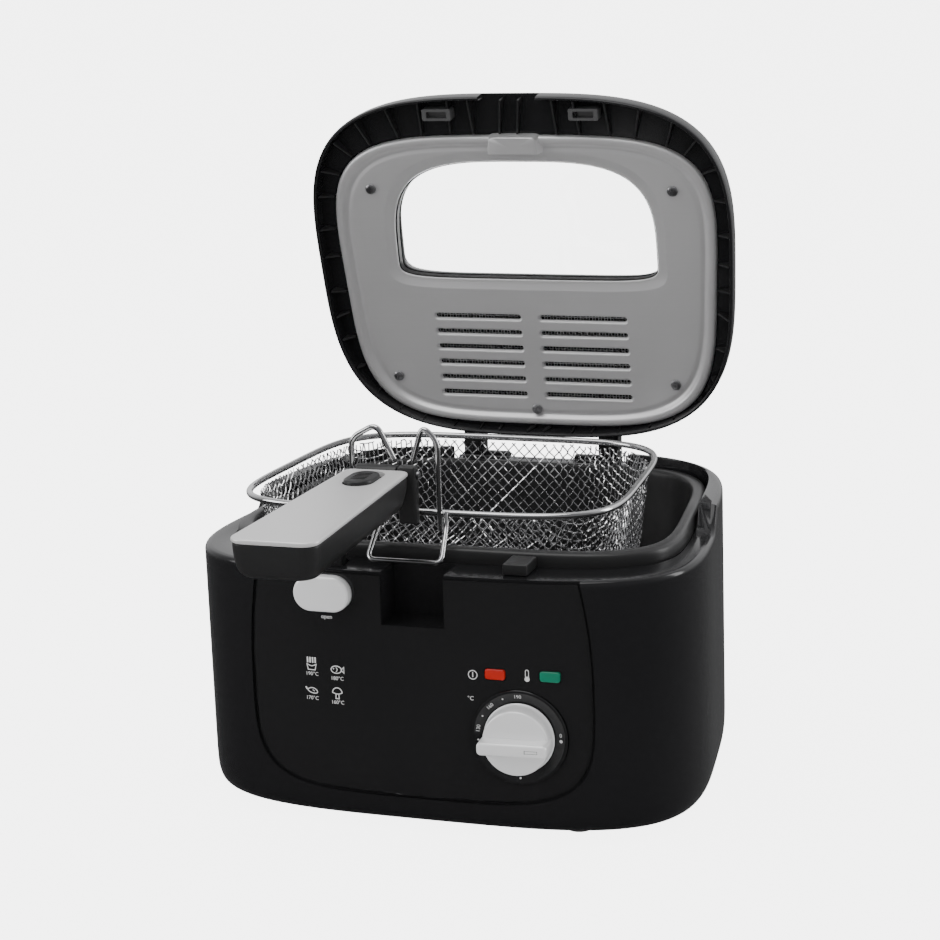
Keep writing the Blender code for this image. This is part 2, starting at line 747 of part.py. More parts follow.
TOP = -LID_THICK + LID_RIM
lid_shell = loft("lid_shell", [
    lid_ring(60.0, TOP + LID_WALL),
    lid_ring(40.0, TOP + LID_WALL + 0.4),
    lid_ring(26.0, TOP + LID_WALL + 2.6),
    lid_ring(17.6, TOP + 11.0),
    lid_ring(11.0, TOP + 16.4),
    lid_ring(6.2, TOP + 20.4),
    lid_ring(3.6, -1.5 - LID_WALL),
    liner_ring(-LINER_FIT, -1.5 - LID_WALL),
    liner_ring(-LINER_FIT, -1.5),
    lid_ring(2.6, -1.5),
    lid_ring(2.4, LID_RIM - 0.6),
    lid_ring(1.8, LID_RIM),
    lid_ring(0.8, LID_RIM - 0.1),
    lid_ring(0.0, LID_RIM - 1.4),
    lid_ring(0.2, 0.0),
    lid_ring(1.0, TOP + 23.4),
    lid_ring(3.6, TOP + 19.0),
    lid_ring(8.0, TOP + 13.4),
    lid_ring(14.6, TOP + 7.2),
    lid_ring(24.0, TOP + 2.0),
    lid_ring(38.0, TOP),
    lid_ring(60.0, TOP),
], "black_gloss")
frame_outer = prism("frame_outer", window_profile(GASKET_W + 4.0), TOP + 1.0, -3.2, on_lid)
join(lid_shell, frame_outer)
light_low = GLASS_W - 2.0
cut(lid_shell, prism("frame_inner", window_profile(GASKET_W), GLASS_W, 5.0, on_lid))
cut(lid_shell, prism("frame_light", window_profile(0.0), light_low - 2.0, GLASS_W + 2.0, on_lid))
cut(lid_shell, loft("frame_flare", [
    [on_lid(u, v, light_low) for u, v in window_profile(0.4)],
    [on_lid(u, v, TOP - 1.0) for u, v in window_profile(4.5)],
]))
NOTCH_DEEP = 2.9
notch_shape = rounded_rect(2.0 * 19.6, 20.0, 2.0, 0.0, LID_MID + LID_HALF_D + 10.0 - NOTCH_DEEP)
cut(lid_shell, prism("notch", notch_shape, -1.2, LID_RIM + 6.0, on_lid))
arms = []
arm_reach = 45.0
for side in (-1.0, 1.0):
    low_x, high_x = sorted((side * 40.8, side * 56.0))
    knuckle = prism("arm_knuckle", disc(HINGE_KNUCKLE_R, hinge_y, hinge_z, 18), low_x, high_x, lengthwise)
    profile = [(HINGE_UP - 2.0, -6.0), (arm_reach, -14.0), (arm_reach, -4.0), (HINGE_UP - 2.0, 4.0)]
    ring_low = [on_lid(low_x + 0.6, v, w) for v, w in profile]
    ring_high = [on_lid(high_x - 0.6, v, w) for v, w in profile]
    arms += [knuckle, loft("arm", [ring_low, ring_high])]
join(lid_shell, *arms)
cut(lid_shell, prism("arm_bore", pin_bore, -62.0, 62.0, lengthwise))

lid_liner = loft("lid_liner", [
    liner_ring(50.0, 0.0),
    liner_ring(7.4, 0.0),
    liner_ring(6.0, 1.2),
    liner_ring(4.0, 2.4),
    liner_ring(1.6, 2.2),
    liner_ring(0.4, 0.8),
    liner_ring(0.0, -2.0),
    liner_ring(1.4, -2.0),
    liner_ring(2.0, 0.4),
    liner_ring(4.6, 0.4),
    liner_ring(6.6, -LINER_THICK),
    liner_ring(50.0, -LINER_THICK),
], "aluminium")
boss_profile = [(-19.0, 228.6), (19.0, 228.6), (17.0, 246.6), (-17.0, 246.6)]
boss = loft("boss", [
    [on_lid(u, v, -0.6) for u, v in boss_profile],
    [on_lid(u * 0.92, 237.6 + (v - 237.6) * 0.92, 5.4) for u, v in boss_profile],
    [on_lid(u * 0.86, 237.6 + (v - 237.6) * 0.80, 6.4) for u, v in boss_profile],
])
join(lid_liner, boss)
cut(lid_liner, prism("liner_window", window_profile(1.4), -10.0, 10.0, on_lid))
SCREWS = {
    "lid_screw_1": (-104.3, 208.6),
    "lid_screw_2": (104.3, 208.6),
    "lid_screw_3": (-98.7, 73.7),
    "lid_screw_4": (98.7, 73.7),
    "lid_screw_5": (0.0, 52.5),
}
vent_w = VENT_OUTER - VENT_INNER
for row in range(VENT_ROWS):
    tools = []
    for side in (-1.0, 1.0):
        mid_u = side * (VENT_INNER + vent_w / 2.0)
        slot_shape = stadium(vent_w, VENT_H, mid_u, VENT_TOP - VENT_PITCH * row, 3)
        tools.append(prism("vent", slot_shape, -10.0, 10.0, on_lid))
    cut(lid_liner, *tools)
holes = []
for screw_name, (u, v) in SCREWS.items():
    holes.append(prism("screw_hole", disc(2.0 + GAP, u, v, 12), -10.0, 10.0, on_lid))
    stem = [(radius, height) for radius, height in ((2.0, -6.0), (2.0, GAP), (3.6, GAP), (3.4, 1.6), (2.2, 2.2))]
    rings = [[on_lid(a, b, height) for a, b in disc(radius, u, v, 12)] for radius, height in stem]
    loft(screw_name, rings, "steel")
cut(lid_liner, *holes)

low_v = VENT_TOP - VENT_PITCH * (VENT_ROWS - 1) - 8.0
filter_mid = (low_v + VENT_TOP + 8.0) / 2.0
filter_shape = rounded_rect(2.0 * VENT_OUTER + 12.0, VENT_TOP + 8.0 - low_v, 6.0, 0.0, filter_mid)
prism("lid_filter", filter_shape, -7.0, -LINER_THICK - 0.4, on_lid, "steel")

gasket_outer = window_profile(GASKET_W - 0.6)
gasket_low = GLASS_W + 2.0 * GAP + GLASS_THICK
gasket = prism("window_gasket", gasket_outer, gasket_low, -LINER_THICK - GAP, on_lid, "rubber")
cut(gasket, prism("gasket_hole", window_profile(0.0), -60.0, 20.0, on_lid))
glass_low = GLASS_W + GAP
prism("window_glass", window_profile(GASKET_W - 0.6), glass_low, glass_low + GLASS_THICK, on_lid, "glass")
for side, socket_name in ((-1.0, "latch_socket_left"), (1.0, "latch_socket_right")):
    shape = rounded_rect(20.0, 8.0, 1.2, side * 50.0, LID_MID + LID_HALF_D - 12.8)
    prism(socket_name, shape, -1.5 + GAP, LID_RIM - 3.0, on_lid, "grey_plastic", 0.5)

# Basket ----------------------------------------------------------------------------------------

def basket_ring(inset, z):
    half_w = BASKET_HALF_W - inset
    half_d = BASKET_HALF_D - inset
    ring = outline(half_w, half_d, BASKET_POWER, BASKET_TAPER, BASKET_X, BASKET_Y)
    return [(x, y, z) for x, y in ring]


mesh_top = BASKET_RIM_Z - RIM_WIRE_R - 0.4
floor_z = BASKET_RIM_Z - BASKET_DEPTH
sheet = 1.4
loft("basket_mesh", [
    basket_ring(BASKET_DRAFT + 16.0, floor_z + sheet),
    basket_ring(BASKET_DRAFT + 8.0, floor_z + sheet + 1.6),
    basket_ring(BASKET_DRAFT + 3.0, floor_z + sheet + 6.0),
    basket_ring(BASKET_DRAFT - 1.0, floor_z + 22.0),
    basket_ring(2.2, mesh_top),
    basket_ring(2.2 - sheet, mesh_top),
    basket_ring(BASKET_DRAFT - 1.0 - sheet, floor_z + 22.0),
    basket_ring(BASKET_DRAFT + 2.0 - sheet, floor_z + 6.0),
    basket_ring(BASKET_DRAFT + 7.5 - sheet, floor_z + 1.0),
    basket_ring(BASKET_DRAFT + 16.0, floor_z),
], "chrome")
rim_path = [Vector(p) for p in basket_ring(0.0, BASKET_RIM_Z)]
wire("basket_rim", rim_path, RIM_WIRE_R, "chrome", closed=True)

rim_front_y = BASKET_Y - BASKET_HALF_D
wire_front = rim_front_y - RIM_WIRE_R
HOOK_X = -10.0
HOOK_HALF_W = 23.5
HOOK_Y = -BODY_HALF_D + 17.2
HOOK_Z = DECK_Z + 2.9
hook_top = wire_front - HOOK_WIRE_R - 0.4
wire("basket_hook", rounded_path([
    (HOOK_X - HOOK_HALF_W + 3.0, hook_top, BASKET_RIM_Z + 1.0),
    (HOOK_X - HOOK_HALF_W + 2.0, hook_top - 2.0, BASKET_RIM_Z - 6.0),
    (HOOK_X - HOOK_HALF_W, HOOK_Y, HOOK_Z),
    (HOOK_X + HOOK_HALF_W, HOOK_Y, HOOK_Z),
    (HOOK_X + HOOK_HALF_W - 2.0, hook_top - 2.0, BASKET_RIM_Z - 6.0),
    (HOOK_X + HOOK_HALF_W - 3.0, hook_top, BASKET_RIM_Z + 1.0),
], 5.0), HOOK_WIRE_R, "chrome")

STAY_Y = wire_front - STAY_WIRE_R - 0.4
STAY_TOP_Z = 245.5
for stay_name, legs in (
    ("stay_left", (-48.0, -20.5)),
    ("stay_right", (7.0, -8.5)),
):
    outer_x, inner_x = legs
    apex_x = outer_x + (inner_x - outer_x) * 0.6
    wire(stay_name, rounded_path([
        (outer_x, STAY_Y, BASKET_RIM_Z - 10.0),
        (outer_x, STAY_Y, STAY_TOP_Z - 9.0),
        (apex_x, STAY_Y, STAY_TOP_Z),
        (inner_x, STAY_Y - 1.0, PIVOT_Z + PIVOT_R + 3.0),
    ], 6.0), STAY_WIRE_R, "chrome")
BRACKET_LOW_X = -17.0
BRACKET_HIGH_X = -5.5
bracket = box(
    "handle_bracket",
    (BRACKET_LOW_X, PIVOT_Y - 4.6, BASKET_RIM_Z - 5.0),
    (BRACKET_HIGH_X, PIVOT_Y + 3.0, PIVOT_Z + PIVOT_R),
    "black_satin", 1.2,
)
pivot_bore = disc(2.6, PIVOT_Y, PIVOT_Z, 20)
cut(bracket, prism("bracket_bore", pivot_bore, -60.0, 20.0, lengthwise))
prism("handle_pivot", disc(2.2, PIVOT_Y, PIVOT_Z, 20), -44.0, -4.0, lengthwise, "steel")

# Handle ----------------------------------------------------------------------------------------

def handle_outline(shrink, steps=8):
    end_half = HANDLE_END_W / 2.0 - shrink
    root_half = HANDLE_ROOT_W / 2.0 - shrink
    end_y = HANDLE_END_Y + shrink
    root_y = HANDLE_ROOT_Y - shrink
    corner = 9.0
    points = []
    for side, start in ((-1.0, 180.0), (1.0, 270.0)):
        for i in range(steps + 1):
            t = math.radians(start + 90.0 * i / steps)
            x = HANDLE_X + side * (end_half - corner) + corner * math.cos(t)
            points.append((x, end_y + corner + corner * math.sin(t)))
    for side, start in ((1.0, 0.0), (-1.0, 90.0)):
        for i in range(steps + 1):
            t = math.radians(start + 90.0 * i / steps)
            x = HANDLE_X + side * (root_half - 5.0) + 5.0 * math.cos(t)
            points.append((x, root_y - 5.0 + 5.0 * math.sin(t)))
    return points


def handle_ring(shrink, z):
    return [(x, y, z) for x, y in handle_outline(shrink)]


body_top = HANDLE_TOP_Z - PLATE_THICK
handle_body = loft("handle_body", [
    handle_ring(9.0, body_top - HANDLE_DEPTH),
    handle_ring(5.0, body_top - HANDLE_DEPTH + 1.2),
    handle_ring(2.2, body_top - HANDLE_DEPTH + 5.0),
    handle_ring(1.0, body_top - 8.0),
    handle_ring(0.6, body_top - GAP),
], "black_satin")
slider_hole = [(HANDLE_X + b, SLIDER_Y - a) for a, b in stadium(SLIDER_L + 9.0, SLIDER_W + 1.0)]
cut(handle_body, prism("pocket", slider_hole, body_top - 7.0, body_top + 20.0, upright))
barrel = prism("barrel", disc(PIVOT_R, PIVOT_Y, PIVOT_Z, 20), -43.5, BRACKET_LOW_X - 0.6, lengthwise)
barrel_link = box(
    "link",
    (-42.7, HANDLE_ROOT_Y - 6.1, PIVOT_Z - 8.3),
    (BRACKET_LOW_X - 1.2, PIVOT_Y - 3.1, PIVOT_Z + 0.6),
)
join(handle_body, barrel, barrel_link)
clear = 5.8
drop = PIVOT_Z - (body_top - HANDLE_DEPTH - 2.0)
fold = math.radians(FOLD_DEG)
low_y = PIVOT_Y - (clear + drop * math.sin(fold)) / math.cos(fold)
relief = [
    (PIVOT_Y - clear, HANDLE_TOP_Z),
    (low_y, PIVOT_Z - drop),
    (PIVOT_Y + 8.0, PIVOT_Z - drop),
    (PIVOT_Y + 8.0, HANDLE_TOP_Z),
]
cut(handle_body, prism("fold_relief", relief, BRACKET_LOW_X - 0.8, 0.0, lengthwise))
cut(handle_body, prism("handle_bore", disc(2.6, PIVOT_Y, PIVOT_Z, 20), -60.0, 20.0, lengthwise))
plate = loft("handle_plate", [
    handle_ring(0.8, body_top),
    handle_ring(0.2, body_top + 0.5),
    handle_ring(0.2, HANDLE_TOP_Z - 0.9),
    handle_ring(1.0, HANDLE_TOP_Z),
], "silver_plastic")
cut(plate, prism("plate_hole", slider_hole, body_top - 5.0, body_top + 20.0, upright))
slider_shape = [(HANDLE_X + b, SLIDER_Y - 3.0 - a) for a, b in stadium(SLIDER_L, SLIDER_W)]
prism("handle_slider", slider_shape, body_top - 6.6, HANDLE_TOP_Z + 2.4, upright, "black_satin", 1.2)

# Each moving piece turns or slides about its own origin -----------------------------------------

MOVING = {
    (0.0, hinge_y, hinge_z): ["lid_shell", "lid_liner", "lid_filter", "window_gasket", "window_glass",
                              "latch_socket_left", "latch_socket_right", *SCREWS],
    (KNOB_X, knob_front, KNOB_Z): ["control_knob"],
    (BUTTON_X, -button_face, BUTTON_Z): ["open_button", "latch_hook"],
    (BASKET_X, BASKET_Y, BASKET_RIM_Z): ["basket_mesh", "basket_rim", "basket_hook", "stay_left", "stay_right",
                                         "handle_bracket", "handle_pivot"],
    (HANDLE_X, PIVOT_Y, PIVOT_Z): ["handle_body", "handle_plate"],
    (HANDLE_X, SLIDER_Y, HANDLE_TOP_Z): ["handle_slider"],
}
everything = list(bpy.context.scene.collection.objects)
depths = [v.co.y for obj in everything for v in obj.data.vertices]
to_middle = Vector((0.0, -(min(depths) + max(depths)) / 2.0, 0.0))
for obj in everything:
    obj.data.transform(Matrix.Translation(to_middle))
for spot, names in MOVING.items():
    place = Vector(spot) * MM + to_middle
    for name in names:
        obj = bpy.data.objects[name]
        obj.data.transform(Matrix.Translation(-place))
        obj.location = place
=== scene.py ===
import math
import bmesh
import bpy
from mathutils import Matrix, Vector


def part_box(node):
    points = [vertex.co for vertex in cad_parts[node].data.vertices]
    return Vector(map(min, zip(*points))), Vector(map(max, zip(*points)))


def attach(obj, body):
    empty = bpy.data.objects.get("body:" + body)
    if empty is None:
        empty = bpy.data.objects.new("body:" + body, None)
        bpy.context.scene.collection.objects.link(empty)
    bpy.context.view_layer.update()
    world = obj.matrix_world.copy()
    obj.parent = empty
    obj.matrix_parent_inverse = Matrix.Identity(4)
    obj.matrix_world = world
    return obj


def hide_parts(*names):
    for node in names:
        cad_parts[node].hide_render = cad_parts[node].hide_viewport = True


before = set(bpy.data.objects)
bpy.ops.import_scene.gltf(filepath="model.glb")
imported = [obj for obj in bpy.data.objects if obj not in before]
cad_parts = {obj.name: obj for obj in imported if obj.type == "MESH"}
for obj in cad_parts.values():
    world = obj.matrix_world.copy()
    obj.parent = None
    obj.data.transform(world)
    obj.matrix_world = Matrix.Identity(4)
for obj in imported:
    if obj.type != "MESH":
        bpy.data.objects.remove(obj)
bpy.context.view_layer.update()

# Camera and studio ------------------------------------------------------------------------------
# The fryer stands on a wide pale sheet under a large overhead softbox, with a smaller one at each
# side. Everything is placed from the middle of its four feet.
MM = 0.001


def centre(node):
    low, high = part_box(node)
    return (low + high) / 2.0


MIDDLE = (centre("foot_front_left") + centre("foot_rear_right")) / 2.0
MIDDLE.z = 0.0
EYE = Vector((478.7, -1394.63, 554.66)) * MM + MIDDLE
EYE_YAW, EYE_PITCH, EYE_ROLL = 0.328196, 0.233552, -0.0340152
EYE_LENS = 91.109
EYE_SHIFT = (-0.01685, -0.01510)

look = Vector((
    -math.sin(EYE_YAW) * math.cos(EYE_PITCH),
    math.cos(EYE_YAW) * math.cos(EYE_PITCH),
    -math.sin(EYE_PITCH),
))
level = Vector((math.cos(EYE_YAW), math.sin(EYE_YAW), 0.0))
above = level.cross(look)
across = level * math.cos(EYE_ROLL) + above * math.sin(EYE_ROLL)
upward = above * math.cos(EYE_ROLL) - level * math.sin(EYE_ROLL)
lens = bpy.data.cameras.new("studio_camera")
lens.lens = EYE_LENS
lens.sensor_width = 36.0
lens.shift_x, lens.shift_y = EYE_SHIFT
lens.clip_start, lens.clip_end = 0.05, 100.0
camera = bpy.data.objects.new("studio_camera", lens)
turn = Matrix((across, upward, -look)).transposed().to_4x4()
camera.matrix_world = Matrix.Translation(EYE) @ turn
bpy.context.scene.collection.objects.link(camera)
bpy.context.scene.camera = camera


def softbox(name, spot, aim, wide, tall, power):
    lamp = bpy.data.lights.new(name, "AREA")
    lamp.shape = "RECTANGLE"
    lamp.size, lamp.size_y = wide, tall
    lamp.energy = power
    holder = bpy.data.objects.new(name, lamp)
    holder.location = spot
    holder.rotation_mode = "QUATERNION"
    holder.rotation_quaternion = (Vector(aim) - Vector(spot)).to_track_quat("-Z", "Y")
    bpy.context.scene.collection.objects.link(holder)
    return holder


softbox("overhead_softbox", (-0.3, -0.5, 1.9), (0.0, 0.05, 0.2), 1.6, 1.2, 14.0)
softbox("left_softbox", (-1.6, -0.9, 0.9), (0.0, 0.0, 0.2), 0.8, 1.2, 9.0)
softbox("right_softbox", (1.7, 0.7, 0.7), (0.1, 0.05, 0.15), 0.5, 1.3, 9.0)

world = bpy.data.worlds.new("studio")
bpy.context.scene.world = world
world.use_nodes = True
sky = world.node_tree
sky.nodes.clear()
ends = sky.nodes.new("ShaderNodeOutputWorld")
room = sky.nodes.new("ShaderNodeBackground")
room.inputs["Color"].default_value = (1.0, 1.0, 1.0, 1.0)
room.inputs["Strength"].default_value = 1.25
open_wall = sky.nodes.new("ShaderNodeBackground")
open_wall.inputs["Color"].default_value = (1.0, 1.0, 1.0, 1.0)
open_wall.inputs["Strength"].default_value = 9.0
cards = sky.nodes.new("ShaderNodeBackground")
cards.inputs["Strength"].default_value = 1.0
rays = sky.nodes.new("ShaderNodeLightPath")
pick = sky.nodes.new("ShaderNodeMixShader")
toward = sky.nodes.new("ShaderNodeTexCoord")
split = sky.nodes.new("ShaderNodeSeparateXYZ")
backdrop = sky.nodes.new("ShaderNodeValToRGB")
backdrop.color_ramp.elements[0].position = 0.34
backdrop.color_ramp.elements[0].color = (0.17, 0.17, 0.175, 1.0)
backdrop.color_ramp.elements[1].position = 0.85
backdrop.color_ramp.elements[1].color = (0.95, 0.95, 0.96, 1.0)
spread = sky.nodes.new("ShaderNodeMapRange")
spread.inputs["From Min"].default_value = -1.0
sky.links.new(toward.outputs["Generated"], split.inputs[0])
sky.links.new(split.outputs["Y"], spread.inputs["Value"])
sky.links.new(spread.outputs["Result"], backdrop.inputs["Fac"])
sky.links.new(backdrop.outputs["Color"], cards.inputs["Color"])
sky.links.new(rays.outputs["Is Glossy Ray"], pick.inputs["Fac"])
seen = sky.nodes.new("ShaderNodeMath")
seen.operation = "MAXIMUM"
sky.links.new(rays.outputs["Is Camera Ray"], seen.inputs[0])
sky.links.new(rays.outputs["Is Transmission Ray"], seen.inputs[1])
wall = sky.nodes.new("ShaderNodeMixShader")
sky.links.new(seen.outputs[0], wall.inputs["Fac"])
sky.links.new(room.outputs[0], wall.inputs[1])
sky.links.new(open_wall.outputs[0], wall.inputs[2])
sky.links.new(wall.outputs[0], pick.inputs[1])
low_cut = sky.nodes.new("ShaderNodeMapRange")
low_cut.inputs["From Min"].default_value = -0.25
low_cut.inputs["From Max"].default_value = 0.15
low_cut.inputs["To Min"].default_value = 0.12
low_cut.inputs["To Max"].default_value = 1.0
sky.links.new(split.outputs["Z"], low_cut.inputs["Value"])
sky.links.new(low_cut.outputs["Result"], cards.inputs["Strength"])
sky.links.new(cards.outputs[0], pick.inputs[2])
sky.links.new(pick.outputs[0], ends.inputs["Surface"])

bm = bmesh.new()
bmesh.ops.create_grid(bm, x_segments=8, y_segments=8, size=40.0)
sheet = bpy.data.meshes.new("floor")
bm.to_mesh(sheet)
bm.free()
floor = bpy.data.objects.new("floor", sheet)
bpy.context.scene.collection.objects.link(floor)
paper = bpy.data.materials.new("floor_paper")
paper.use_nodes = True
tree = paper.node_tree
skin = tree.nodes["Principled BSDF"]
fibre = tree.nodes.new("ShaderNodeTexNoise")
fibre.inputs["Scale"].default_value = 3.0
shade = tree.nodes.new("ShaderNodeValToRGB")
shade.color_ramp.elements[0].color = (0.93, 0.93, 0.93, 1.0)
shade.color_ramp.elements[1].color = (0.96, 0.96, 0.96, 1.0)
tree.links.new(fibre.outputs["Fac"], shade.inputs["Fac"])
tree.links.new(shade.outputs["Color"], skin.inputs["Base Color"])
skin.inputs["Roughness"].default_value = 1.0
skin.inputs["Specular IOR Level"].default_value = 0.0
washed = tree.nodes.new("ShaderNodeEmission")
washed.inputs["Strength"].default_value = 7.0
eye_ray = tree.nodes.new("ShaderNodeLightPath")
clean = tree.nodes.new("ShaderNodeMath")
clean.operation = "MULTIPLY"
clean.inputs[1].default_value = 0.72
blend = tree.nodes.new("ShaderNodeMixShader")
open_view = tree.nodes.new("ShaderNodeMath")
open_view.operation = "MAXIMUM"
tree.links.new(eye_ray.outputs["Is Camera Ray"], open_view.inputs[0])
tree.links.new(eye_ray.outputs["Is Transmission Ray"], open_view.inputs[1])
tree.links.new(open_view.outputs[0], clean.inputs[0])
tree.links.new(clean.outputs[0], blend.inputs["Fac"])
tree.links.new(skin.outputs[0], blend.inputs[1])
tree.links.new(washed.outputs[0], blend.inputs[2])
tree.links.new(blend.outputs[0], tree.nodes["Material Output"].inputs["Surface"])
sheet.materials.append(paper)
floor.visible_glossy = False

# Housing ----------------------------------------------------------------------------------------
# The outer shell is one injection moulding in black ABS, polished in the mould. Its rim is low at
# the front and steps up at the back, and the tub, the panel and the hinge sit in its openings.
ROUND = 168
BODY = dict(half_w=153.5, half_d=134.4, power=3.64, taper=-0.11)
TUB = dict(half_w=129.8, half_d=104.4, power=4.5, taper=-0.09, y0=11.3)
DECK_Z, SHOULDER_Z, SHOULDER_START, SHOULDER_RUN = 163.7, 178.0, -6.0, 12.0
SEAT_Z, WELL = 162.4, 10.2
SLOT_HALF, SLOT_FLOOR, SLOT_BACK = 19.8, 131.6, -108.9
HINGE_Y, HINGE_Z, KNUCKLE_R, PIN_R = 131.765, 168.499, 6.8, 3.0


def signed_power(value, power):
    return math.copysign(abs(value) ** power, value)


def even_angles(power, count, weight=90.0):
    """Angles round a rounded oblong, closer together on its corners."""
    fine = [2.0 * math.pi * (i + 0.5) / 2880 for i in range(2881)]
    spots = [Vector((150 * signed_power(math.cos(t), 2 / power), 130 * signed_power(math.sin(t), 2 / power)))
             for t in fine]
    sums = [0.0]
    for i in range(2880):
        step = spots[i + 1] - spots[i]
        after = spots[(i + 2) % 2880] - spots[(i + 1) % 2880]
        sums.append(sums[-1] + step.length + weight * step.angle(after, 0.0))
    angles, k = [], 0
    for i in range(count):
        goal = sums[-1] * (i + 0.5) / count
        while sums[k + 1] < goal:
            k += 1
        angles.append(fine[k] + (fine[k + 1] - fine[k]) * (goal - sums[k]) / (sums[k + 1] - sums[k]))
    return angles


ANGLES = even_angles(3.8, ROUND)


def oblong(grow, half_w, half_d, power, taper, x0=0.0, y0=0.0):
    """A rounded oblong that is a little wider at one end, grown by some millimetres."""
    wide, deep = half_w + grow, half_d + grow
    ring = []
    for t in ANGLES:
        x = wide * signed_power(math.cos(t), 2.0 / power)
        y = deep * signed_power(math.sin(t), 2.0 / power)
        ring.append((x0 + x * (1.0 + taper * y / deep), y0 + y))
    return ring


def eased(points, steps=3, closed=False, reach=0.46):
    """A polyline with each corner turned into a short curve."""
    spots = [Vector(p) for p in points]
    count = len(spots)
    path = []
    for i in range(count):
        if not closed and i in (0, count - 1):
            path.append(spots[i])
            continue
        here = spots[i]
        start = here + (spots[i - 1] - here) * reach
        end = here + (spots[(i + 1) % count] - here) * reach
        for k in range(steps + 1):
            t = k / steps
            path.append(start * (1 - t) ** 2 + here * 2 * t * (1 - t) + end * t ** 2)
    return path


def add_piece(name, bm, angle=35.0):
    """Links a mesh given in millimetres from the fryer's middle."""
    bmesh.ops.remove_doubles(bm, verts=bm.verts, dist=0.002)
    bmesh.ops.recalc_face_normals(bm, faces=bm.faces)
    mesh = bpy.data.meshes.new(name)
    bm.to_mesh(mesh)
    bm.free()
    mesh.transform(Matrix.Translation(MIDDLE) @ Matrix.Scale(MM, 4))
    piece = bpy.data.objects.new(name, mesh)
    bpy.context.scene.collection.objects.link(piece)
    smooth(piece, angle)
    return piece


def smooth(piece, angle=35.0):
    mesh = piece.data
    mesh.polygons.foreach_set("use_smooth", [True] * len(mesh.polygons))
    mesh.set_sharp_from_angle(angle=math.radians(angle))


def loft(name, rings, closed=False, angle=35.0):
    """Skin over rings of points; an open loft gets a flat cap at each end."""
    bm = bmesh.new()
    rows = [[bm.verts.new(p) for p in ring] for ring in rings]
    count = len(rows[0])
    pairs = list(zip(rows, rows[1:]))
    if closed:
        pairs.append((rows[-1], rows[0]))
    for low, high in pairs:
        for i in range(count):
            j = (i + 1) % count
            bm.faces.new((low[i], low[j], high[j], high[i]))
    if not closed:
        for row in (rows[0], rows[-1]):
            hub = bm.verts.new(sum((v.co for v in row), Vector()) / count)
            for i in range(count):
                bm.faces.new((row[i], row[(i + 1) % count], hub))
    return add_piece(name, bm, angle)


def inset(profile, distance):
    count = len(profile)
    moved = []
    for i in range(count):
        along = (Vector(profile[(i + 1) % count]) - Vector(profile[i - 1])).normalized()
        moved.append((profile[i][0] - along.y * distance, profile[i][1] + along.x * distance))
    return moved


def upright(a, b, height):
    return (a, b, height)


def facing(a, b, height):
    return (a, -height, b)


def lengthwise(a, b, height):
    return (height, a, b)


def prism(name, profile, low, high, place, soft=0.0, both=False, steps=4):
    """A profile pushed through from low to high, with its far edge (or both) rounded by soft."""
    levels = [(low, 0.0)]
    if soft and both:
        levels = [(low + soft * (1 - math.sin(t)), soft * (1 - math.cos(t)))
                  for t in [math.pi / 2 * (1 - i / steps) for i in range(steps + 1)]]
    if soft:
        levels += [(high - soft * (1 - math.sin(t)), soft * (1 - math.cos(t)))
                   for t in [math.pi / 2 * i / steps for i in range(steps + 1)]]
    else:
        levels.append((high, 0.0))
    rings = [[place(a, b, h) for a, b in inset(profile, d)] for h, d in levels]
    return loft(name, rings)


def stadium(wide, tall, a0=0.0, b0=0.0, steps=16):
    radius = tall / 2.0
    reach = wide / 2.0 - radius
    points = []
    for side, start in ((1.0, -90.0), (-1.0, 90.0)):
        for i in range(steps + 1):
            t = math.radians(start + 180.0 * i / steps)
            points.append((a0 + side * reach + radius * math.cos(t), b0 + radius * math.sin(t)))
    return points


def soft_rect(wide, tall, radius, a0=0.0, b0=0.0, steps=6):
    points = []
    for sa, sb, start in ((1, -1, -90.0), (1, 1, 0.0), (-1, 1, 90.0), (-1, -1, 180.0)):
        for i in range(steps + 1):
            t = math.radians(start + 90.0 * i / steps)
            a = a0 + sa * (wide / 2.0 - radius) + radius * math.cos(t)
            points.append((a, b0 + sb * (tall / 2.0 - radius) + radius * math.sin(t)))
    return points


def disc(radius, a0=0.0, b0=0.0, steps=48):
    return [(a0 + radius * math.cos(2 * math.pi * i / steps), b0 + radius * math.sin(2 * math.pi * i / steps))
            for i in range(steps)]


def block(name, low, high, soft=0.6):
    wide, deep = high[0] - low[0], high[1] - low[1]
    corner = min(soft * 1.3, wide / 2.2, deep / 2.2)
    shape = soft_rect(wide, deep, corner, (low[0] + high[0]) / 2, (low[1] + high[1]) / 2, 4)
    return prism(name, shape, low[2], high[2], upright, soft, soft > 0)


def boolean(target, tools, operation):
    for tool in tools:
        mod = target.modifiers.new("solid", "BOOLEAN")
        mod.operation = operation
        mod.solver = "EXACT"
        mod.object = tool
    graph = bpy.context.evaluated_depsgraph_get()
    graph.update()
    baked = bpy.data.meshes.new_from_object(target.evaluated_get(graph))
    target.modifiers.clear()
    target.data = baked
    for tool in tools:
        bpy.data.objects.remove(tool, do_unlink=True)
    smooth(target)
    return target


def cut(target, *tools):
    return boolean(target, tools, "DIFFERENCE")


def join(target, *tools):
    return boolean(target, tools, "UNION")


def ease_edges(piece, width, segments=2, angle=40.0):
    """Rounds the cut edges, as the mould or a finishing cloth leaves them."""
    mod = piece.modifiers.new("edges", "BEVEL")
    mod.width = width * MM
    mod.segments = segments
    mod.limit_method = "ANGLE"
    mod.angle_limit = math.radians(angle)
    mod.use_clamp_overlap = True
    mod.harden_normals = False
    return piece


def shell_ring(grow, z):
    return [(x, y, z) for x, y in oblong(grow, **BODY)]


def rim_height(y):
    t = min(1.0, max(0.0, (y - SHOULDER_START) / SHOULDER_RUN))
    return DECK_Z + (SHOULDER_Z - DECK_Z) * t * t * (3.0 - 2.0 * t)


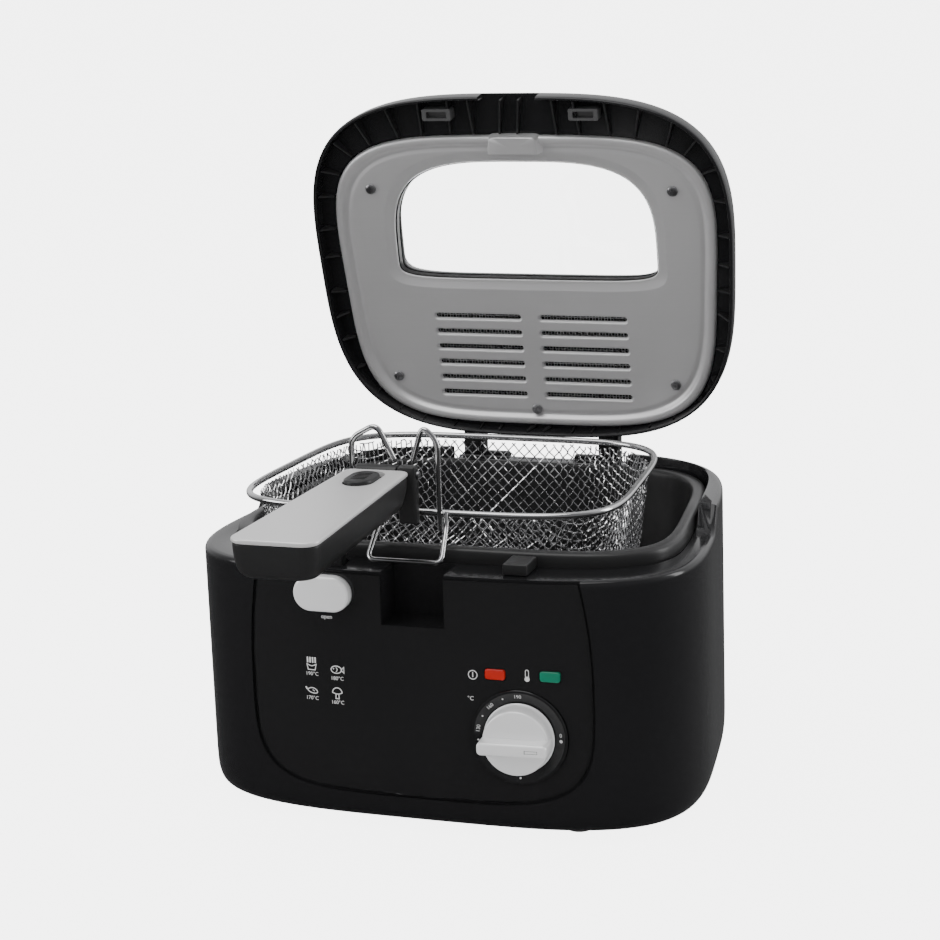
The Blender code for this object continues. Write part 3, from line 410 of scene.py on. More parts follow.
def rim_ring(grow, drop):
    return [(x, y, rim_height(y) - drop) for x, y in oblong(grow, **BODY)]


def tub_ring(grow, z):
    return [(x, y, z) for x, y in oblong(grow, **TUB)]


def tub_rim_ring(grow, drop):
    return [(x, y, rim_height(y) - drop) for x, y in oblong(grow, **TUB)]


def front_y(x, sunk=0.0):
    wide, deep = BODY["half_w"] - sunk, BODY["half_d"] - sunk
    y = -deep
    for _ in range(10):
        reach = wide * (1.0 + BODY["taper"] * y / deep)
        share = min(1.0, abs(x) / reach)
        y = -deep * (1.0 - share ** BODY["power"]) ** (1.0 / BODY["power"])
    return y


PANEL = dict(half=107.5, top_half=100.5, low=24.5, knee=95.0, high=161.5)


def panel_half(z, grow):
    if z >= PANEL["knee"]:
        t = (z - PANEL["knee"]) / (PANEL["high"] - PANEL["knee"])
        return PANEL["half"] + grow + (PANEL["top_half"] - PANEL["half"]) * t * t
    share = min(1.0, (PANEL["knee"] - z) / (PANEL["knee"] - PANEL["low"] + grow))
    return (PANEL["half"] + grow) * (1.0 - share ** 4.4) ** (1.0 / 4.4)


def panel_sheet(name, grow, top, back, front, dome=0.0, run=8.0):
    """A plate that follows the housing's front. Its edge falls back by dome over the run."""
    low = PANEL["low"] - grow
    span = PANEL["knee"] - low
    heights = [PANEL["knee"] - span * math.cos(math.pi / 2 * k / 26) for k in range(26)]
    heights[0] = low + 0.02
    heights += [PANEL["knee"] + (top - PANEL["knee"]) * k / 12.0 for k in range(13)]
    columns = 72
    border = []
    for k in range(161):
        z = PANEL["knee"] - span * math.cos(math.pi / 2 * k / 160)
        border += [(panel_half(z, grow), z), (-panel_half(z, grow), z)]
    border += [(s * panel_half(PANEL["knee"] + k * 2.0, grow), PANEL["knee"] + k * 2.0)
               for k in range(40) for s in (-1, 1)]
    bm = bmesh.new()
    layers = []
    for depth, falls in ((back, 0.0), (front, dome)):
        rows = []
        for z in heights:
            half = panel_half(z, grow)
            row = []
            for c in range(columns + 1):
                x = half * math.sin(math.radians(-90.0 + 180.0 * c / columns))
                sunk = depth
                if falls:
                    near = min(math.hypot(x - bx, z - bz) for bx, bz in border)
                    t = min(1.0, near / run)
                    sunk += falls * (1.0 - math.sqrt(1.0 - (1.0 - t) ** 2)) if t < 1 else 0.0
                    sunk = min(sunk, depth + falls)
                row.append(bm.verts.new((x, front_y(x, sunk), z)))
            rows.append(row)
        layers.append(rows)
    back_rows, front_rows = layers
    last = len(heights) - 1
    for rows in layers:
        for r in range(last):
            for c in range(columns):
                bm.faces.new((rows[r][c], rows[r][c + 1], rows[r + 1][c + 1], rows[r + 1][c]))
    for r in range(last):
        for c in (0, columns):
            bm.faces.new((back_rows[r][c], back_rows[r + 1][c], front_rows[r + 1][c], front_rows[r][c]))
    for r in (0, last):
        for c in range(columns):
            bm.faces.new((back_rows[r][c], back_rows[r][c + 1], front_rows[r][c + 1], front_rows[r][c]))
    return add_piece(name, bm, 40.0)


BUTTON = dict(x=-56.0, z=149.4, wide=35.5, tall=21.8, proud=6.0)
LENSES = {"lens_red": 50.3, "lens_green": 83.4}
LENS_Z, LENS_W, LENS_H = 105.5, 12.4, 6.4
KNOB_X, KNOB_Z, KNOB_R, DISH_R = 64.0, 67.0, 20.8, 29.5
KNOB_TURN = math.atan2(front_y(KNOB_X + 2.0) - front_y(KNOB_X - 2.0), 4.0)
KNOB_Y = front_y(KNOB_X) + 0.2


def on_knob_axis(a, b, height):
    spot = Matrix.Rotation(KNOB_TURN, 3, "Z") @ Vector((a, -height, b))
    return (spot.x + KNOB_X, spot.y + KNOB_Y, spot.z + KNOB_Z)


def control_cuts():
    opening = stadium(BUTTON["wide"] + 1.0, BUTTON["tall"] + 1.0, BUTTON["x"], BUTTON["z"])
    tools = [prism("cut", opening, 100.0, 150.0, facing)]
    for x in LENSES.values():
        hole = soft_rect(LENS_W + 0.7, LENS_H + 0.7, 1.6, x, LENS_Z)
        tools.append(prism("cut", hole, 100.0, 150.0, facing))
    tools.append(prism("cut", disc(4.0), -30.0, 30.0, on_knob_axis))
    return tools


shell_profile = eased([
    (-15.0, 0.0), (-9.0, 0.3), (-4.2, 2.2), (-1.6, 6.0), (-0.4, 12.0), (0.0, 20.0),
    (0.0, 54.0), (0.0, 104.0), (0.0, 150.0),
], 3)
rings = [shell_ring(g, 6.0 + z) for g, z in shell_profile]
rim_round = eased([(0.0, 6.0), (0.0, 2.6), (-1.0, 0.6), (-3.2, 0.0), (-4.6, 0.0)], 5)
rings += [rim_ring(g, d) for g, d in rim_round]
rings += [tub_rim_ring(g, d) for g, d in ((WELL + 0.8, 0.0), (WELL + 0.2, 0.2), (WELL, 0.8))]
rings += [tub_ring(WELL, SEAT_Z), tub_ring(3.4, SEAT_Z), tub_ring(3.4, SEAT_Z - 3.0)]
rings += [shell_ring(-5.6, SEAT_Z - 6.0), shell_ring(-4.6, 110.0), shell_ring(-4.6, 28.0)]
rings += [shell_ring(-7.1, 15.0), shell_ring(-15.0, 10.0)]
housing = loft("housing_shell", rings, closed=True)
slot_low = (-SLOT_HALF - 3, -132.4, SLOT_FLOOR - 3)
slot_high = (SLOT_HALF + 3, SLOT_BACK + 3, DECK_Z - 1.0)
join(housing, block("slot_block", slot_low, slot_high, 0.0))
slot_shape = [(-SLOT_HALF, -150.0), (SLOT_HALF, -150.0), (SLOT_HALF, SLOT_BACK), (-SLOT_HALF, SLOT_BACK)]
slot_cut = prism("slot_cut", slot_shape, SLOT_FLOOR, DECK_Z + 20.0, upright)
cut(housing, slot_cut, panel_sheet("panel_seat", 1.6, DECK_Z + 8.0, 2.3, -6.0))
bay = [(-64.0, 124.9), (64.0, 124.9), (64.0, 154.4), (-64.0, 154.4)]
cut(housing, prism("hinge_bay", bay, SEAT_Z - 4.0, SHOULDER_Z + 20.0, upright))
knuckles = []
for side in (-1.0, 1.0):
    low_x, high_x = sorted((side * 24.0, side * 40.0))
    knuckles.append(prism("knuckle", disc(KNUCKLE_R, HINGE_Y, HINGE_Z), low_x, high_x, lengthwise, 0.8, True))
    stand_low = (low_x + 0.4, HINGE_Y - 3.0, SEAT_Z - 8.0)
    stand_high = (high_x - 0.4, HINGE_Y + 2.0, HINGE_Z)
    knuckles.append(block("stand", stand_low, stand_high, 0.0))
join(housing, *knuckles)
cut(housing, prism("bore", disc(PIN_R + 0.35, HINGE_Y, HINGE_Z), -62.0, 62.0, lengthwise))
cut(housing, *control_cuts())
cut(housing, block("latch_gap", (-63.1, -125.6, DECK_Z - 12.0), (-46.9, -110.4, DECK_Z + 10.0), 0.0))
cut(housing, prism("gland_hole", disc(6.85, 72.0, 34.0), -170.0, -100.0, facing))


def put(tree, kind, inputs=(), **settings):
    """One shader node, its sockets set to a value or fed by another socket."""
    made = tree.nodes.new("ShaderNode" + kind)
    for key, value in settings.items():
        setattr(made, key, value)
    for key, value in dict(inputs).items():
        if isinstance(value, bpy.types.NodeSocket):
            tree.links.new(value, made.inputs[key])
        else:
            made.inputs[key].default_value = value
    return made


def effect(name, inputs, outputs):
    tree = bpy.data.node_groups.new(name, "ShaderNodeTree")
    for label, value in inputs:
        kind = "NodeSocketColor" if isinstance(value, tuple) else "NodeSocketFloat"
        if label == "Vector":
            kind = "NodeSocketVector"
        socket = tree.interface.new_socket(name=label, in_out="INPUT", socket_type=kind)
        if value is not None and label != "Vector":
            socket.default_value = value
    for label in outputs:
        kind = "NodeSocketColor" if label == "Colour" else "NodeSocketFloat"
        tree.interface.new_socket(name=label, in_out="OUTPUT", socket_type=kind)
    return tree, tree.nodes.new("NodeGroupInput").outputs, tree.nodes.new("NodeGroupOutput")


# Moulded skin: slow colour drift, polish smears, lint specks and a faint orange peel.
skin_group, given, result = effect("moulded_skin", [
    ("Vector", None), ("Colour", (0.01, 0.01, 0.01, 1.0)), ("Rubbed", (0.02, 0.02, 0.02, 1.0)),
    ("Roughness", 0.2), ("Smear", 0.1), ("Smear Scale", 12.0), ("Grain Scale", 900.0), ("Lint", 0.1),
], ["Colour", "Roughness", "Height"])
smear = put(skin_group, "TexNoise", {
    "Vector": given["Vector"], "Scale": given["Smear Scale"], "Detail": 4.0, "Distortion": 0.6,
})
grain = put(skin_group, "TexNoise", {"Vector": given["Vector"], "Scale": given["Grain Scale"], "Detail": 2.0})
specks = put(skin_group, "TexVoronoi", {"Vector": given["Vector"], "Scale": 420.0})
lint = put(skin_group, "MapRange", {"Value": specks.outputs["Distance"], "From Min": 0.10, "From Max": 0.03})
some = put(skin_group, "MapRange", {"Value": smear.outputs["Fac"], "From Min": 0.5, "From Max": 0.7})
lint_here = put(
    skin_group, "Math", {0: lint.outputs["Result"], 1: some.outputs["Result"]}, operation="MULTIPLY",
)
lint_some = put(skin_group, "Math", {0: lint_here.outputs[0], 1: given["Lint"]}, operation="MULTIPLY")
tone = put(skin_group, "MixRGB", {0: smear.outputs["Fac"], 1: given["Colour"], 2: given["Rubbed"]})
dusty = put(skin_group, "MixRGB", {0: lint_some.outputs[0], 1: tone.outputs[0], 2: (0.35, 0.34, 0.33, 1.0)})
drift = put(skin_group, "Math", {0: smear.outputs["Fac"], 1: 0.5}, operation="SUBTRACT")
rougher = put(
    skin_group, "Math", {0: drift.outputs[0], 1: given["Smear"], 2: given["Roughness"]},
    operation="MULTIPLY_ADD",
)
skin_group.links.new(dusty.outputs[0], result.inputs["Colour"])
skin_group.links.new(rougher.outputs[0], result.inputs["Roughness"])
skin_group.links.new(grain.outputs["Fac"], result.inputs["Height"])

# Rubbed lines: fine streaks along one direction, for brushed metal and for handling scratches.
line_group, given, result = effect("rubbed_lines", [
    ("Vector", None), ("Colour", (0.6, 0.6, 0.6, 1.0)), ("Rubbed", (0.5, 0.5, 0.5, 1.0)),
    ("Roughness", 0.3), ("Spread", 0.1), ("Stretch X", 1.0), ("Stretch Y", 60.0), ("Stretch Z", 60.0),
], ["Colour", "Roughness", "Height"])
stretch = put(line_group, "CombineXYZ", {0: given["Stretch X"], 1: given["Stretch Y"], 2: given["Stretch Z"]})
drawn = put(line_group, "VectorMath", {0: given["Vector"], 1: stretch.outputs[0]}, operation="MULTIPLY")
streak = put(line_group, "TexNoise", {
    "Vector": drawn.outputs[0], "Scale": 22.0, "Detail": 5.0, "Roughness": 0.65,
})
cloud = put(line_group, "TexNoise", {"Vector": given["Vector"], "Scale": 14.0, "Detail": 3.0})
both = put(line_group, "Math", {0: streak.outputs["Fac"], 1: cloud.outputs["Fac"]}, operation="ADD")
half = put(line_group, "Math", {0: both.outputs[0], 1: 0.5}, operation="MULTIPLY")
tone = put(line_group, "MixRGB", {0: half.outputs[0], 1: given["Colour"], 2: given["Rubbed"]})
drift = put(line_group, "Math", {0: streak.outputs["Fac"], 1: 0.5}, operation="SUBTRACT")
rougher = put(
    line_group, "Math", {0: drift.outputs[0], 1: given["Spread"], 2: given["Roughness"]},
    operation="MULTIPLY_ADD",
)
line_group.links.new(tone.outputs[0], result.inputs["Colour"])
line_group.links.new(rougher.outputs[0], result.inputs["Roughness"])
line_group.links.new(streak.outputs["Fac"], result.inputs["Height"])


def finish(name, colour, rubbed, rough, effects, depth=0.02, metal=0.0, group=None, **shader_values):
    """A material whose colour, roughness and relief come from one of the effects above."""
    made = bpy.data.materials.new(name)
    made.use_nodes = True
    tree = made.node_tree
    shader = tree.nodes["Principled BSDF"]
    spot = put(tree, "TexCoord")
    values = {
        "Vector": spot.outputs["Object"], "Colour": (*colour, 1.0),
        "Rubbed": (*rubbed, 1.0), "Roughness": rough,
    }
    values.update(effects)
    marks = tree.nodes.new("ShaderNodeGroup")
    marks.node_tree = group or skin_group
    for key, value in values.items():
        if isinstance(value, bpy.types.NodeSocket):
            tree.links.new(value, marks.inputs[key])
        else:
            marks.inputs[key].default_value = value
    bump = put(tree, "Bump", {"Height": marks.outputs["Height"], "Strength": 1.0, "Distance": depth * MM})
    tree.links.new(marks.outputs["Colour"], shader.inputs["Base Color"])
    tree.links.new(marks.outputs["Roughness"], shader.inputs["Roughness"])
    tree.links.new(bump.outputs["Normal"], shader.inputs["Normal"])
    shader.inputs["Metallic"].default_value = metal
    for key, value in shader_values.items():
        shader.inputs[key.replace("_", " ")].default_value = value
    return made


def place_piece(piece, material, body, slot, *nodes):
    """Paints a piece, hangs it on its body and hides the solids it stands for."""
    piece.data.materials.clear()
    piece.data.materials.append(material)
    piece.data.polygons.foreach_set("material_index", [0] * len(piece.data.polygons))
    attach(piece, body)
    if nodes:
        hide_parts(*nodes)
    return piece


def paint_node(name, material):
    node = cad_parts[name]
    node.data.materials.clear()
    node.data.materials.append(material)


black_gloss = finish(
    "polished_black_abs", (0.0085, 0.0085, 0.0092), (0.0105, 0.0105, 0.0112), 0.15,
    {"Smear": 0.07, "Smear Scale": 9.0, "Grain Scale": 700.0, "Lint": 0.05}, 0.006,
    Specular_IOR_Level=0.5, IOR=1.5,
)
place_piece(housing, black_gloss, "base_unit", "black_gloss", "housing")

# Front panel -------------------------------------------------------------------------------------
# A separate gloss cover clipped into the recess of the shell, with a soft rolled edge. The lamps,
# the button and the knob come through it, and its signs are pad printed in pale grey ink.
panel = panel_sheet("front_cover", 0.0, PANEL["high"], 2.0, 0.35, 1.5, 8.0)
notch_half = SLOT_HALF + 0.2
notch = [(-notch_half, -200.0), (notch_half, -200.0), (notch_half, 0.0), (-notch_half, 0.0)]
cut(panel, prism("notch", notch, SLOT_FLOOR - 0.2, 250.0, upright))
cut(panel, *control_cuts())
cut(panel, prism("dish_hole", disc(DISH_R + 0.35, steps=96), -30.0, 30.0, on_knob_axis))
cover_gloss = finish(
    "gloss_cover_abs", (0.0095, 0.0095, 0.0100), (0.0115, 0.0115, 0.0120), 0.17,
    {"Smear": 0.08, "Smear Scale": 11.0, "Grain Scale": 800.0, "Lint": 0.04}, 0.005,
)
place_piece(panel, cover_gloss, "base_unit", "black_gloss", "front_panel")

INK_THICK = 0.12


def ribbon(bm, points, width, place, closed=False):
    """A printed stroke of even width with a little thickness."""
    spots = [Vector(p) for p in points]
    count = len(spots)
    rows = []
    for i in range(count):
        before = spots[i - 1] if closed or i else spots[0] * 2 - spots[1]
        after = spots[(i + 1) % count] if closed or i < count - 1 else spots[-1] * 2 - spots[-2]
        a, b = (spots[i] - before).normalized(), (after - spots[i]).normalized()
        normal = Vector((-(a + b).y, (a + b).x)).normalized()
        reach = width / 2.0 / max(0.5, normal.dot(Vector((-a.y, a.x))))
        rows.append([bm.verts.new(place(*(spots[i] + normal * reach * s), h))
                     for s, h in ((-1, 0.0), (1, 0.0), (1, INK_THICK), (-1, INK_THICK))])
    pairs = list(zip(rows, rows[1:])) + ([(rows[-1], rows[0])] if closed else [])
    for low, high in pairs:
        for k in range(4):
            bm.faces.new((low[k], low[(k + 1) % 4], high[(k + 1) % 4], high[k]))
    if not closed:
        bm.faces.new(rows[0])
        bm.faces.new(rows[-1][::-1])


def spot_of_ink(bm, a0, b0, radius, place):
    rings = [[bm.verts.new(place(a, b, h)) for a, b in disc(radius, a0, b0, 20)] for h in (0.0, INK_THICK)]
    for i in range(20):
        j = (i + 1) % 20
        bm.faces.new((rings[0][i], rings[0][j], rings[1][j], rings[1][i]))
    bm.faces.new(rings[0][::-1])
    bm.faces.new(rings[1])


def lettering(bm, words, size, a0, b0, place, tilt=0.0):
    """Letters of a plain built-in face, centred on a point and turned by tilt."""
    curve = bpy.data.curves.new("letters", "FONT")
    curve.body = words
    curve.size = size
    curve.align_x, curve.align_y = "CENTER", "CENTER"
    curve.extrude = INK_THICK / 2.0
    curve.resolution_u = 4
    holder = bpy.data.objects.new("letters", curve)
    bpy.context.scene.collection.objects.link(holder)
    graph = bpy.context.evaluated_depsgraph_get()
    mesh = bpy.data.meshes.new_from_object(holder.evaluated_get(graph))
    start = len(bm.verts)
    bm.from_mesh(mesh)
    bm.verts.ensure_lookup_table()
    c, s = math.cos(tilt), math.sin(tilt)
    for v in bm.verts[start:]:
        a, b, h = v.co
        v.co = place(a0 + a * c - b * s, b0 + a * s + b * c, h + INK_THICK / 2.0)
    bpy.data.objects.remove(holder, do_unlink=True)
    bpy.data.meshes.remove(mesh)


def on_panel(a, b, height):
    return (a, front_y(a, 0.35) - height + 0.03, b)


def arc(a0, b0, radius, start, end, steps=20):
    turns = [math.radians(start + (end - start) * i / steps) for i in range(steps + 1)]
    return [(a0 + radius * math.cos(t), b0 + radius * math.sin(t)) for t in turns]


bm = bmesh.new()
lettering(bm, "open", 3.6, -55.0, 134.0, on_panel)
for words, a, b in (
    ("190°C", -66.6, 97.0), ("180°C", -50.0, 95.4), ("170°C", -67.2, 81.6), ("160°C", -50.4, 80.2),
):
    lettering(bm, words, 3.3, a, b, on_panel)
lettering(bm, "°C", 3.6, 34.8, 89.6, on_panel)
# Chips in a tub, a fish, a drumstick and a mushroom
for k in range(4):
    ribbon(bm, [(-69.2 + k * 1.7, 104.0), (-69.2 + k * 1.7, 107.6)], 0.95, on_panel)
chip_tub = [
    (-69.8, 103.2), (-69.0, 99.6), (-64.4, 99.6), (-63.6, 103.2), (-65.2, 102.4), (-66.7, 102.0), (-68.2, 102.4),
]
ribbon(bm, chip_tub, 0.55, on_panel, True)
round_turn = [2 * math.pi * i / 24 for i in range(24)]
fish = [(-53.8 + 3.4 - 3.4 * math.cos(t), 101.0 + 2.3 * math.sin(t)) for t in round_turn]
ribbon(bm, fish, 0.55, on_panel, True)
ribbon(bm, [(-47.2, 101.0), (-45.4, 102.9), (-45.4, 99.1)], 0.55, on_panel, True)
spot_of_ink(bm, -52.2, 101.5, 0.45, on_panel)
ribbon(bm, [(-50.6, 99.6), (-49.6, 101.0), (-50.6, 102.4)], 0.4, on_panel)
leg = eased([
    (-70.4, 86.6, 0), (-68.6, 88.0, 0), (-66.0, 88.2, 0), (-63.8, 86.8, 0),
    (-63.4, 85.2, 0), (-65.2, 84.6, 0), (-68.0, 85.0, 0),
], 3, True)
ribbon(bm, [(v.x, v.y) for v in leg], 0.55, on_panel, True)
ribbon(bm, [(-70.4, 86.8), (-71.2, 88.6)], 0.9, on_panel)
ribbon(bm, [(-66.8, 86.9), (-65.4, 86.0)], 0.4, on_panel)
cap = arc(-50.4, 86.4, 3.1, 0.0, 180.0) + [(-51.6, 85.6), (-49.2, 85.6)]
ribbon(bm, cap, 0.55, on_panel, True)
ribbon(bm, [(-51.3, 85.4), (-51.5, 82.6), (-49.3, 82.6), (-49.5, 85.4)], 0.55, on_panel)
# Mains and heating signs beside the lamps
ribbon(bm, arc(36.6, 104.4, 2.7, 0.0, 360.0)[:-1], 0.5, on_panel, True)
ribbon(bm, [(36.6, 103.0), (36.6, 106.0)], 0.6, on_panel)
stem = arc(69.8, 108.4, 0.95, 0.0, 180.0, 8) + [(68.85, 105.0), (70.75, 105.0)]
ribbon(bm, stem, 0.4, on_panel, True)
spot_of_ink(bm, 69.8, 103.6, 1.5, on_panel)
signs = add_piece("printed_signs", bm, 30.0)
pale_ink = finish(
    "pale_grey_ink", (0.50, 0.50, 0.50), (0.60, 0.60, 0.60), 0.55,
    {"Smear": 0.1, "Smear Scale": 300.0, "Grain Scale": 2500.0, "Lint": 0.0}, 0.004,
)
place_piece(signs, pale_ink, "base_unit", "silver_plastic")

# Oil tub -------------------------------------------------------------------------------------------
# A pressed aluminium pan with a dark non-stick coat. Its broad rolled lip drops on the housing's
# seat, and the tub and the lip are one piece.
LIP, TUB_FLOOR, LIP_Z = 8.6, 66.0, 171.5
tub_profile = eased([
    (-40.0, TUB_FLOOR), (-24.0, TUB_FLOOR + 0.4), (-16.0, TUB_FLOOR + 4.0), (-11.0, TUB_FLOOR + 14.0),
    (-6.0, 115.0), (-0.9, LIP_Z - 5.0), (-0.2, LIP_Z - 1.0), (1.6, LIP_Z + 0.4), (LIP - 3.0, LIP_Z + 0.4),
    (LIP - 0.6, LIP_Z - 1.0), (LIP, LIP_Z - 4.0), (LIP, SEAT_Z + 0.35),
], 4)
tub_under = [
    (LIP - 1.6, SEAT_Z + 0.35), (LIP - 2.0, LIP_Z - 3.4), (2.2, LIP_Z - 3.2), (0.8, LIP_Z - 6.5),
    (-4.4, 115.0), (-9.4, TUB_FLOOR + 13.5), (-14.6, TUB_FLOOR + 2.0), (-23.4, TUB_FLOOR - 1.6),
    (-41.0, TUB_FLOOR - 1.6),
]
tub = loft("oil_pan", [tub_ring(g, z) for g, z in [*tub_profile, *tub_under]])
coat = finish(
    "non_stick_coat", (0.012, 0.012, 0.0125), (0.019, 0.019, 0.0195), 0.34,
    {"Smear": 0.16, "Smear Scale": 16.0, "Grain Scale": 1500.0, "Lint": 0.05}, 0.02,
)
place_piece(tub, coat, "base_unit", "tub_coating", "oil_tub")

# Base, feet, gland and the parts inside ---------------------------------------------------------
# A satin black base plate closes the housing from below and carries four rubber feet. The heater,
# the thermostat and the terminal block sit inside, out of sight.
black_satin = finish(
    "satin_black_pp", (0.0120, 0.0120, 0.0125), (0.0165, 0.0165, 0.0170), 0.36,
    {"Smear": 0.12, "Smear Scale": 18.0, "Grain Scale": 1300.0, "Lint": 0.06}, 0.03,
)
foot_rubber = finish(
    "foot_rubber", (0.017, 0.017, 0.017), (0.030, 0.029, 0.028), 0.72,
    {"Smear": 0.15, "Smear Scale": 60.0, "Grain Scale": 1800.0, "Lint": 0.3}, 0.06,
)
satin_steel = finish(
    "satin_steel", (0.40, 0.40, 0.41), (0.52, 0.52, 0.53), 0.30,
    {"Spread": 0.16, "Stretch X": 2.0, "Stretch Y": 50.0, "Stretch Z": 50.0}, 0.01, 1.0, line_group,
)
grey_nylon = finish(
    "grey_nylon", (0.050, 0.050, 0.051), (0.062, 0.062, 0.063), 0.42,
    {"Smear": 0.1, "Smear Scale": 30.0, "Grain Scale": 1500.0, "Lint": 0.05}, 0.02,
)
for node in ("base_plate", "thermostat"):
    paint_node(node, black_satin)
for node in ("foot_front_left", "foot_front_right", "foot_rear_left", "foot_rear_right"):
    spot = (centre(node) - MIDDLE) / MM
    foot_profile = [
        (5.0, 0.6), (6.6, 0.5), (6.8, 0.0), (8.0, 0.0), (8.8, 0.4), (9.0, 1.2), (8.7, 3.0), (8.7, 5.2),
    ]
    rings = [[(x, y, z) for x, y in disc(r, spot.x, spot.y)] for r, z in foot_profile]
    foot = loft("rubber_" + node, rings)
    place_piece(foot, foot_rubber, "base_unit", "rubber", node)
for node in ("heating_element", "hinge_pin"):
    paint_node(node, satin_steel)
paint_node("terminal_block", grey_nylon)
gland_low = (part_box("cord_gland")[0] - MIDDLE) / MM
gland_high = (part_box("cord_gland")[1] - MIDDLE) / MM
gland_profile = [(6.5, gland_low.y), (6.5, gland_high.y - 6.0)]
for k in range(3):
    ridge_y = gland_high.y + k * 1.8
    ridge_r = -0.3 * k
    gland_profile += [(6.3 + ridge_r, ridge_y - 5.6), (5.4 + ridge_r, ridge_y - 5.0), (5.4 + ridge_r, ridge_y - 4.4)]
gland_profile += [
    (5.2, gland_high.y - 0.3), (4.8, gland_high.y), (3.2, gland_high.y), (3.0, gland_high.y - 1.4),
]
gland = loft("cord_bushing", [[(a, y, b) for a, b in disc(r, 72.0, 34.0)] for r, y in gland_profile])
place_piece(gland, foot_rubber, "base_unit", "rubber", "cord_gland")

# Lamps -------------------------------------------------------------------------------------------
# Two snap-in lenses of clear coloured plastic, red for mains and green for heating, unlit.
for node, x in LENSES.items():
    face = -front_y(x) + 0.6
    cap = prism("lamp_" + node, soft_rect(LENS_W, LENS_H, 1.7, x, LENS_Z, 8), face - 9.0, face, facing, 0.7)
    red = node == "lens_red"
    tint = (0.42, 0.018, 0.010) if red else (0.008, 0.17, 0.10)
    deep = (0.30, 0.010, 0.006) if red else (0.005, 0.12, 0.07)
    lens_plastic = finish(
        "red_lamp_plastic" if red else "green_lamp_plastic", tint, deep, 0.16,
        {"Smear": 0.05, "Smear Scale": 120.0, "Grain Scale": 500.0, "Lint": 0.02}, 0.02,
        Coat_Weight=0.4, Coat_Roughness=0.06,
    )
    place_piece(cap, lens_plastic, "base_unit", "red_lens" if red else "green_lens", node)

# Knob and its dish --------------------------------------------------------------------------------
# A silver sprayed knob with a thick grip across it turns in a shallow gloss ring. The ring
# carries the temperatures, and the grip's mark points to them.
dish_profile = [
    (4.2, -1.7), (DISH_R - 1.0, -1.7), (DISH_R, -0.8), (DISH_R, 0.2), (DISH_R - 0.3, 0.6),
    (DISH_R - 1.2, 0.8),
    (DISH_R - 2.0, 0.6), (DISH_R - 2.8, 0.1), (KNOB_R + 2.0, -0.8), (KNOB_R + 1.4, -0.9), (4.2, -0.9),
]


def turned(profile):
    """Rings of a turned piece on the knob's axis."""
    return [[on_knob_axis(a, b, h) for a, b in disc(r, steps=96)] for r, h in profile]


dish = loft("dial_ring", turned(dish_profile), closed=True)
place_piece(dish, cover_gloss, "base_unit", "black_gloss", "knob_dish")
knob_profile = eased([
    (3.0, -13.0), (3.0, -0.4), (KNOB_R + 0.8, -0.4), (KNOB_R + 0.8, 0.9), (KNOB_R - 0.2, 1.4),
    (KNOB_R - 0.6, 9.6), (KNOB_R - 1.2, 11.0), (KNOB_R - 3.2, 11.1), (2.0, 11.1),
], 3)
knob = loft("temperature_knob", turned(knob_profile))
GRIP_TOP = 20.5
grip_shape = soft_rect(2 * KNOB_R + 0.8, 8.0, 2.6, 0.0, -1.0, 8)
grip = prism("grip", grip_shape, 4.0, GRIP_TOP, on_knob_axis, 1.6, steps=6)
join(knob, grip)
ease_edges(knob, 0.5, 2, 50.0)
silver = finish(
    "silver_spray", (0.84, 0.84, 0.845), (0.89, 0.89, 0.895), 0.34,
    {"Smear": 0.08, "Smear Scale": 26.0, "Grain Scale": 3200.0, "Lint": 0.02}, 0.015, 0.35,
    Coat_Weight=0.15, Coat_Roughness=0.25,
)
place_piece(knob, silver, "knob", "silver_plastic", "control_knob")


def on_dial(a, b, height):
    radius = math.hypot(a, b)
    share = (radius - (KNOB_R + 2.0)) / (DISH_R - 2.8 - KNOB_R - 2.0)
    return on_knob_axis(a, b, -0.8 + 0.9 * min(1.0, max(0.0, share)) + height - 0.03)


bm = bmesh.new()
for words, angle in (("190", 91.0), ("160", 133.0), ("130", 170.0), ("0", 6.0)):
    t = math.radians(angle)
    tilt = t - math.pi / 2 if words != "0" else 0.0
    lettering(bm, words, 3.2, 25.3 * math.cos(t), 25.3 * math.sin(t), on_dial, tilt)
for angle, radius in ((112.0, 0.5), (151.0, 0.5), (186.0, 0.5), (270.0, 0.6), (-2.0, 1.0)):
    t = math.radians(angle)
    spot_of_ink(bm, 25.3 * math.cos(t), 25.3 * math.sin(t), radius, on_dial)
numbers = add_piece("dial_numbers", bm, 30.0)
place_piece(numbers, pale_ink, "base_unit", "silver_plastic")
bm = bmesh.new()
mark_box = [(8.0, -0.4), (15.6, -0.4), (15.6, -2.0), (8.0, -2.0)]
ribbon(bm, mark_box, 0.3, lambda a, b, h: on_knob_axis(a, b, GRIP_TOP - 0.05 + h), True)
ribbon(bm, [(8.0, 0.0), (8.0, -2.4)], 0.5, lambda a, b, h: on_knob_axis(a, b, GRIP_TOP - 0.04 + h))
pointer = add_piece("knob_mark", bm, 30.0)
mark_ink = finish(
    "grey_mark", (0.22, 0.22, 0.22), (0.28, 0.28, 0.28), 0.5,
    {"Smear": 0.1, "Smear Scale": 200.0, "Grain Scale": 2500.0, "Lint": 0.0}, 0.004,
)
place_piece(pointer, mark_ink, "knob", "silver_plastic")

